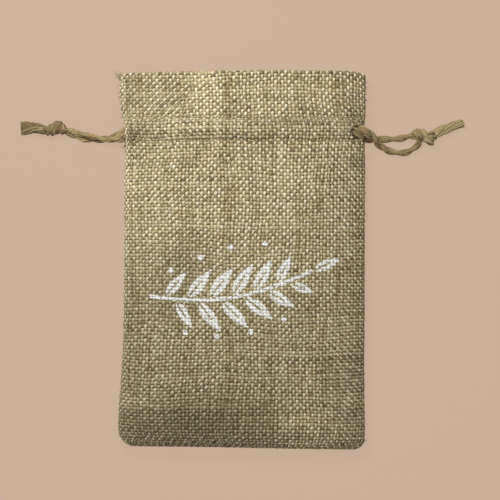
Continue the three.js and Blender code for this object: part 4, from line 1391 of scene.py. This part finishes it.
def sheet_piece(walls):
    """The one strip of cloth under the yarns: hem, front, bottom fold, back and hem. Returns the piece and
    the strip's length."""
    across = np.linspace(SHEET_EDGE, 1 - SHEET_EDGE, SHEET_COLUMNS)
    close, far = FOLD_ROWS
    parts = [], [], []
    for wall, order in zip(walls, (-1, 1)):
        below = np.arange(0, wall.mouth - far, SHEET_STEP)
        inside = np.arange(wall.mouth + far, wall.along[-1], SHEET_STEP)
        along = np.concatenate([below, [wall.mouth - close, wall.mouth + close], inside])
        a, b = np.meshgrid(across, along)
        points, normals, level = wall.at(a, b)
        sunk = SHEET_SUNK + FOLD_SUNK * np.exp(-(((b - wall.mouth) / FOLD_REACH) ** 2))
        points = points - normals * sunk[..., None]
        inner = b > wall.mouth
        near = np.abs(level - TUNNEL_MIDDLE) < TUNNEL_HALF
        sides = (points[..., 0] - left_edge(level) < SLIT) | (right_edge(level) - points[..., 0] < SLIT)
        cut = np.where(inner, near & sides, in_slit(points, level, wall.is_front))
        shared_row = 1 if parts[0] else 0
        for kept, made in zip(parts, (points, inner, cut)):
            kept.append(made[::order][shared_row:])
    front_rows = len(parts[0][0])
    grid, inner, cut = (np.concatenate(kept) for kept in parts)
    length, width = cut.shape
    index = np.arange(length * width).reshape(length, width)
    quads = np.stack([index[:-1, :-1], index[:-1, 1:], index[1:, 1:], index[1:, :-1]], axis=2)
    quads = quads[~cut.ravel()[quads].any(axis=2)]
    used, faces = np.unique(quads, return_inverse=True)
    points = grid.reshape(-1, 3)[used]
    mesh = bpy.data.meshes.new("sheet")
    mesh.from_pydata(points.tolist(), [], faces.reshape(quads.shape).tolist())
    strip = along_of(grid[:, width // 2])[-1]
    places = np.stack(np.meshgrid(np.linspace(0, 1, width), np.linspace(0, 1, length)), axis=2)
    places = places.reshape(-1, 2)[quads.ravel()]
    sizes = MILLIMETRES * np.array([SHEET_SPAN, strip])
    map_out(mesh, places * (1 - 2 * MAP_EDGE) + MAP_EDGE, places * sizes)
    inner = inner.ravel()[used]
    x, y = points[:, 0], points[:, 1]
    store(mesh, "tone", inner * INSIDE_TONE)
    store(mesh, "ink", sprig(x, y) * (~inner & (used < front_rows * width)))
    # Painted shade and painted light on the outer cloth
    store(mesh, "painted_shade", painted_shade_at(x, y) * ~inner)
    mesh.materials.append(GAP_SHADE_GROUND)
    mesh.polygons.foreach_set("use_smooth", np.ones(len(mesh.polygons), bool))
    maker = linked("sheet", mesh)
    thick = maker.modifiers.new("Thickness", "SOLIDIFY")
    thick.thickness = SHEET
    thick.offset = 0
    name = "pouch_cloth_sheet"
    return piece(name, plain_mesh(maker, name), "pouch_cloth"), strip


def drift(across, along, wall):
    """How the weave wanders from straight: shares across and distances along, moved."""
    rng = np.random.default_rng(FRONT_SEED if wall.is_front else BACK_SEED)
    calm = np.sqrt(np.clip(4 * across * (1 - across), 0, 1))
    low = eased(along / WANDER_START)
    level = np.interp(along, wall.along[: wall.top], wall.levels[: wall.top])
    lean = LEAN_IN * np.clip(level - LOWER_ROW, 0, UPPER_ROW - LOWER_ROW)
    lean = lean + LEAN_OUT * np.clip(level - UPPER_ROW, 0, 1)
    side = np.exp(-(((across - LEAN_PLACE) / LEAN_REACH) ** 2))
    across = across + calm * lean * side / wall.width
    for length in WANDER_LENGTHS:
        phases = rng.uniform(0, 2 * math.pi, 4)
        turns = 2 * math.pi / length
        slow = turns * WANDER_SLOWER
        size = length * WANDER
        x = across * wall.width
        sway = np.sin(along * turns + phases[0]) * np.cos(x * slow + phases[1])
        lift = np.sin(x * turns + phases[2]) * np.cos(along * slow + phases[3])
        across = across + calm * size / wall.width * sway
        along = along + low * size * lift
    return across, along


def add_runs(strands, kept, *columns):
    """Adds the unbroken runs of one yarn that are kept."""
    changes = np.flatnonzero(np.diff(np.concatenate([[False], kept, [False]]).astype(int)))
    for start, end in zip(changes[::2], changes[1::2]):
        if end - start >= SHORTEST_RUN:
            strands.add(*(column[start:end] for column in columns))


def painted_shade_at(x, y):
    """How much painted shade darkens the cloth at a place, or painted light makes it paler where negative."""
    return relief(PAINTED_SHADE, x, y) + PAINTED_SHADE_DEEP * np.clip((PAINTED_SHADE_BELOW - y) / PAINTED_SHADE_LENGTH, 0, 1)


def sprig(x, y):
    """How much of a place the white print covers: a curved sprig with leaves and berries."""
    x, y = x - PRINT_MIDDLE[0], y - PRINT_MIDDLE[1]

    def covered(distance):
        return np.clip(0.5 - distance / PRINT_EDGE, 0, 1)

    def stem(t):
        return STEM_START + STEM_SPAN * t - np.array([0, STEM_SAG * math.sin(math.pi * t)])

    line = [stem(t) for t in np.linspace(0, 1, STEM_POINTS)]
    near = np.full(x.shape, 1.0)
    for (ax, ay), (bx, by) in zip(line, line[1:]):
        share = ((x - ax) * (bx - ax) + (y - ay) * (by - ay)) / ((bx - ax) ** 2 + (by - ay) ** 2)
        share = np.clip(share, 0, 1)
        near = np.minimum(near, np.hypot(x - ax - share * (bx - ax), y - ay - share * (by - ay)))
    cover = covered(near - STEM_HALF)
    for t, side, length in SPRIG_LEAVES:
        foot = stem(t)
        ahead = stem(t + STEM_NUDGE) - stem(t - STEM_NUDGE)
        heading = math.atan2(ahead[1], ahead[0]) + side
        u = (x - foot[0]) * math.cos(heading) + (y - foot[1]) * math.sin(heading)
        v = (y - foot[1]) * math.cos(heading) - (x - foot[0]) * math.sin(heading)
        share = np.clip((u - LEAF_GAP) / length, 0, 1)
        half = LEAF_HALF * length * np.sin(math.pi * share**LEAF_FULL)
        leaf = covered(np.abs(v) - half) * (share > 0) * (share < 1)
        vein = (np.abs(v) < VEIN_HALF) & (share < VEIN_LONG)
        cover = np.maximum(cover, leaf * ~vein)
    for bx, by, radius in SPRIG_BERRIES:
        cover = np.maximum(cover, covered(np.hypot(x - bx, y - by) - radius))
    return cover


def print_on(mesh):
    """Sets a woven piece's ink from where each of its points lies."""
    places = np.empty(len(mesh.vertices) * 3, np.float32)
    mesh.vertices.foreach_get("co", places)
    store(mesh, "ink", sprig(*places.reshape(-1, 3).T[:2].astype(float)))


def finer(columns):
    """One yarn's columns with more points where the print begins or ends along it."""
    points = columns[0]
    shares = np.linspace(0, 1, FINER_STEPS, endpoint=False)
    fine = points[:-1, None] + (points[1:] - points[:-1])[:, None] * shares[:, None]
    ink = sprig(fine[..., 0], fine[..., 1])
    edge = np.ptp(ink, axis=1) > INK_CHANGES
    places = [index + shares if edge[index] else [float(index)] for index in range(len(edge))]
    places = np.concatenate(places + [[len(points) - 1.0]])
    count = np.arange(len(points))
    low = np.floor(places).astype(int)
    made = []
    for column in columns:
        flat = column.reshape(len(points), -1)
        mixed = np.stack([np.interp(places, count, flat[:, axis]) for axis in range(flat.shape[1])], axis=1)
        made.append(mixed.reshape((len(places),) + column.shape[1:]))
    return made, low


def weave(wall, name):
    """The lengthwise and crosswise yarns of a wall, each over and under the others."""
    inside = INSIDE_FRONT if wall.is_front else INSIDE_BACK
    warps = round(wall.width / WARP_PITCH)
    wefts = int((wall.mouth + inside) / WEFT_PITCH)
    over = 1 - 2 * ((np.arange(warps)[:, None] + np.arange(wefts)) % 2)
    pieces = []
    for kind, wave, width, tilt, crown_painted_light, finish in (
        ("warp", WARP_WAVE, WARP_HALF, 1, WARP_CROWN_PAINTED_LIGHT, WARP),
        ("weft", -WEFT_WAVE, WEFT_HALF, -WEFT_TILT, WEFT_CROWN_PAINTED_LIGHT, WEFT),
    ):
        over_under = over if kind == "warp" else over.T
        yarns, crossings = over_under.shape
        count = 2 * crossings
        shape = (yarns, count)
        on_top = np.repeat(over_under, 2, axis=1)
        step = (np.arange(crossings)[:, None] + 0.5 + np.array([-CREST, CREST])).ravel()
        step = np.tile(step, (yarns, 1))
        middle = np.arange(yarns)[:, None] + 0.5 + varied(shape, YARN_STRAY) + varied(shape, YARN_SHAKE)
        up = (middle if kind == "weft" else step) * WEFT_PITCH + BOTTOM
        out = ((step if kind == "weft" else middle) / warps - 0.5) * wall.width
        slant = (CROWN_TILT + relief(TILTS, out, up)) * tilt * on_top
        middle = middle + slant * np.tile([-1, 1], crossings)
        height = wave * on_top * (1 + uneven(CROWN_UNEVEN, (yarns, crossings), count))
        across, along = (middle, step) if kind == "warp" else (step, middle)
        across, along = drift(across / warps, along * WEFT_PITCH, wall)
        points, normals, level = wall.at(across, along)
        points = points + normals * height[..., None]
        half = width * (1 + uneven(YARN_UNEVEN, (yarns, 1), count))
        half = half * np.clip(1 + varied(shape, YARN_SLUB) + varied(shape, YARN_LUMP), *SLUB_LIMITS)
        half = half * (1 + CROWN_SWELL * np.sign(wave) * on_top)
        off_table(points, half * (1 - (1 - YARN_FLAT) * np.abs(normals[..., 2])))
        ink = sprig(points[..., 0], points[..., 1]) * wall.is_front
        half = half * (1 + INK_FILLS * ink)
        tone = uneven(YARN_TONE, (yarns, 1), count) + varied(shape, STRETCH_TONE)
        tone = tone + uneven(CROSSING_TONE, (yarns, crossings), count)
        # Painted highlight on the crowns and painted shade where a yarn dives under
        tone = tone + crown_painted_light * np.sign(wave) * on_top
        # Painted shade and painted light, from its table and the darkening towards the bottom
        painted_shade = painted_shade_at(points[..., 0], points[..., 1])
        kept = ~in_slit(points, level, wall.is_front) & (along < wall.mouth + inside)
        strands = Strands()
        for k in range(yarns):
            columns, on = [points[k], normals[k], half[k], tone[k], ink[k], painted_shade[k]], kept[k]
            if ink[k].any():
                columns, low = finer(columns)
                on = on[low]
            add_runs(strands, on, *columns)
        label = f"{name}_{kind}"
        mesh = strand_mesh(label, strands, sides=5, flatness=YARN_FLAT, finish=finish)
        if wall.is_front:
            print_on(mesh)
        pieces.append(piece(label, mesh, "pouch_cloth"))
    return pieces


def seam_piece(wall, name):
    """The two rows of stitches through a wall and its hem: each stitch dives into the cloth at both ends."""
    strands = Strands()
    edge = SLIT / wall.width + SEAM_EDGE
    holes = np.arange(edge, 1 - edge, STITCH / wall.width)
    share = np.linspace(STITCH_GAP, 1 - STITCH_GAP, STITCH_POINTS)
    rise = STITCH_RISE - STITCH_DIVE * np.abs(2 * share - 1) ** STITCH_ABRUPT
    for row, tone in ((LOWER_ROW, LOWER_TONE), (UPPER_ROW, UPPER_TONE)):
        along = np.interp(row, wall.levels[: wall.top], wall.along[: wall.top])
        for start, end in zip(holes, holes[1:]):
            across = start + (end - start) * share + RNG.normal(0, STITCH_SLIP)
            stray = along + RNG.normal(0, STITCH_STRAY) + (share - 0.5) * RNG.normal(0, STITCH_TURN)
            points, normals, _ = wall.at(across, stray)
            points = points + normals * rise[:, None]
            off_table(points, THREAD_HALF)
            strands.add(points, normals, THREAD_HALF, RNG.normal(tone, STITCH_TONES))
    mesh = strand_mesh(name, strands, sides=5, flatness=0.9, finish=THREAD)
    return piece(name, mesh, "pouch_cloth")


def thread_end(strands, start, heading, length, half, tone):
    """A short loose end that bends a little and thins out."""
    share = np.linspace(0, 1, END_POINTS)[:, None]
    bend = RNG.normal(0, END_BEND, 3)
    points = np.array(start) + length * (share * unit(np.array(heading)) + share**2 * bend)
    off_table(points, half)
    strands.add(points, (0, 0, 1), half * (1 - END_TAPER * share[:, 0]), tone)


def hair_piece(walls, name):
    """Fine single fibres that stand off the cloth here and there."""
    strands = Strands()
    share = np.linspace(0, 1, HAIR_POINTS)[:, None]
    for wall in walls:
        for _ in range(HAIRS):
            across = RNG.uniform(0.0, 1.0)
            along = RNG.uniform(HAIR_LOWEST, wall.mouth + HAIR_OVER)
            point, normal, level = wall.place(across, along)
            faces_table = not wall.is_front and normal[2] < -HAIR_AWAY
            if in_slit(point, level, wall.is_front, HAIR_CLEAR) or faces_table:
                continue
            side = RNG.normal(0, 1, 3)
            side = unit(side - normal * (side @ normal))
            turn = RNG.normal(0, HAIR_BEND)
            bent = side * np.cos(turn * share) + np.cross(normal, side) * np.sin(turn * share)
            length = RNG.uniform(*HAIR_LENGTHS)
            rise = RNG.uniform(0, HAIR_RISE) * np.sin(math.pi * share * RNG.uniform(*HAIR_ARCHES))
            points = point + bent * length * share + normal * (HAIR_LIFT + rise)
            off_table(points, HAIR_HALF)
            half = HAIR_HALF * (HAIR_TAPER[0] - HAIR_TAPER[1] * share[:, 0])
            strands.add(points, normal, half, RNG.normal(*HAIR_TONES))
    mesh = strand_mesh(name, strands, sides=3, flatness=1.0, finish=LOOSE)
    return piece(name, mesh, "pouch_cloth")


def fringe_piece(wall, name):
    """A yarn that fills each side edge, the thread ends that stand out of it, most of them above the sewn
    rows, and the frayed places."""
    strands = Strands()
    for across, frill, below in EDGE_ENDS:
        side = np.array([2 * across - 1, 0, 0])
        along = np.arange(EDGE_YARN_FROM, wall.mouth - EDGE_YARN_SHORT, WEFT_PITCH / 2)
        points, normals, level = wall.at(np.full_like(along, across), along)
        kept = ~in_slit(points, level, wall.is_front)
        half = np.full_like(along, EDGE_YARN_HALF)
        add_runs(strands, kept, points - side * EDGE_YARN_IN, normals, half, varied(along.shape, EDGE_SHADE))
        for along in np.arange(END_LOWEST, wall.mouth - END_SHORT, WEFT_PITCH / 2):
            point, _, level = wall.place(across, along)
            chance, longest = (frill, FRILL_LONGEST) if level > UPPER_ROW else (below, END_LONGEST)
            if RNG.uniform() > chance or in_slit(point, level, wall.is_front, END_CLEAR):
                continue
            heading = (side[0], RNG.normal(0, END_SWAY), RNG.normal(0, END_LIFT))
            length = RNG.uniform(END_SHORTEST, longest)
            half, tone = RNG.uniform(*END_HALVES), RNG.normal(*END_TONES)
            thread_end(strands, point - side * END_IN, heading, length, half, tone)
    for place, heading, spread, count, reach in FRAYS:
        for _ in range(count):
            start = place + RNG.normal(0, FRAY_STRAY, 3)
            aim = heading + RNG.normal(0, spread, 3)
            length = reach * RNG.uniform(*FRAY_LENGTHS)
            thread_end(strands, start, aim, length, RNG.uniform(*FRAY_HALVES), RNG.normal(*FRAY_TONES))
    mesh = strand_mesh(name, strands, sides=4, flatness=0.8, finish=WEFT)
    return piece(name, mesh, "pouch_cloth")


studio()
string_left, left_path = string_piece(
    "left_string", LEFT_ROUTE, LEFT_KNOT, mouth=-0.0478, tone=0.0, node="string_left"
)
string_right, right_path = string_piece(
    "right_string", RIGHT_ROUTE, RIGHT_KNOT, mouth=0.0495, tone=0.15, node="string_right"
)
knot_left = knot_piece("left_knot", LEFT_TURNS, tone=-0.8, node="knot_left")
knot_right = knot_piece("right_knot", RIGHT_TURNS, tone=0.35, node="knot_right")
tail_left = tail_piece("left_fray", LEFT_TAIL, LEFT_BUNDLES, fibres=44, tone=-0.7, node="tail_left")
# The right tail's tone lies well past pale: painted light
tail_right = tail_piece("right_fray", RIGHT_TAIL, RIGHT_BUNDLES, fibres=38, tone=2.3, node="tail_right")
WALLS = [Wall(True), Wall(False)]
base, strip_length = sheet_piece(WALLS)
woven = weave(WALLS[0], "front") + weave(WALLS[1], "back")
woven = woven + [seam_piece(WALLS[0], "front_stitches"), seam_piece(WALLS[1], "back_stitches")]
woven = woven + [fringe_piece(WALLS[0], "edge_threads"), hair_piece(WALLS, "loose_hairs")]
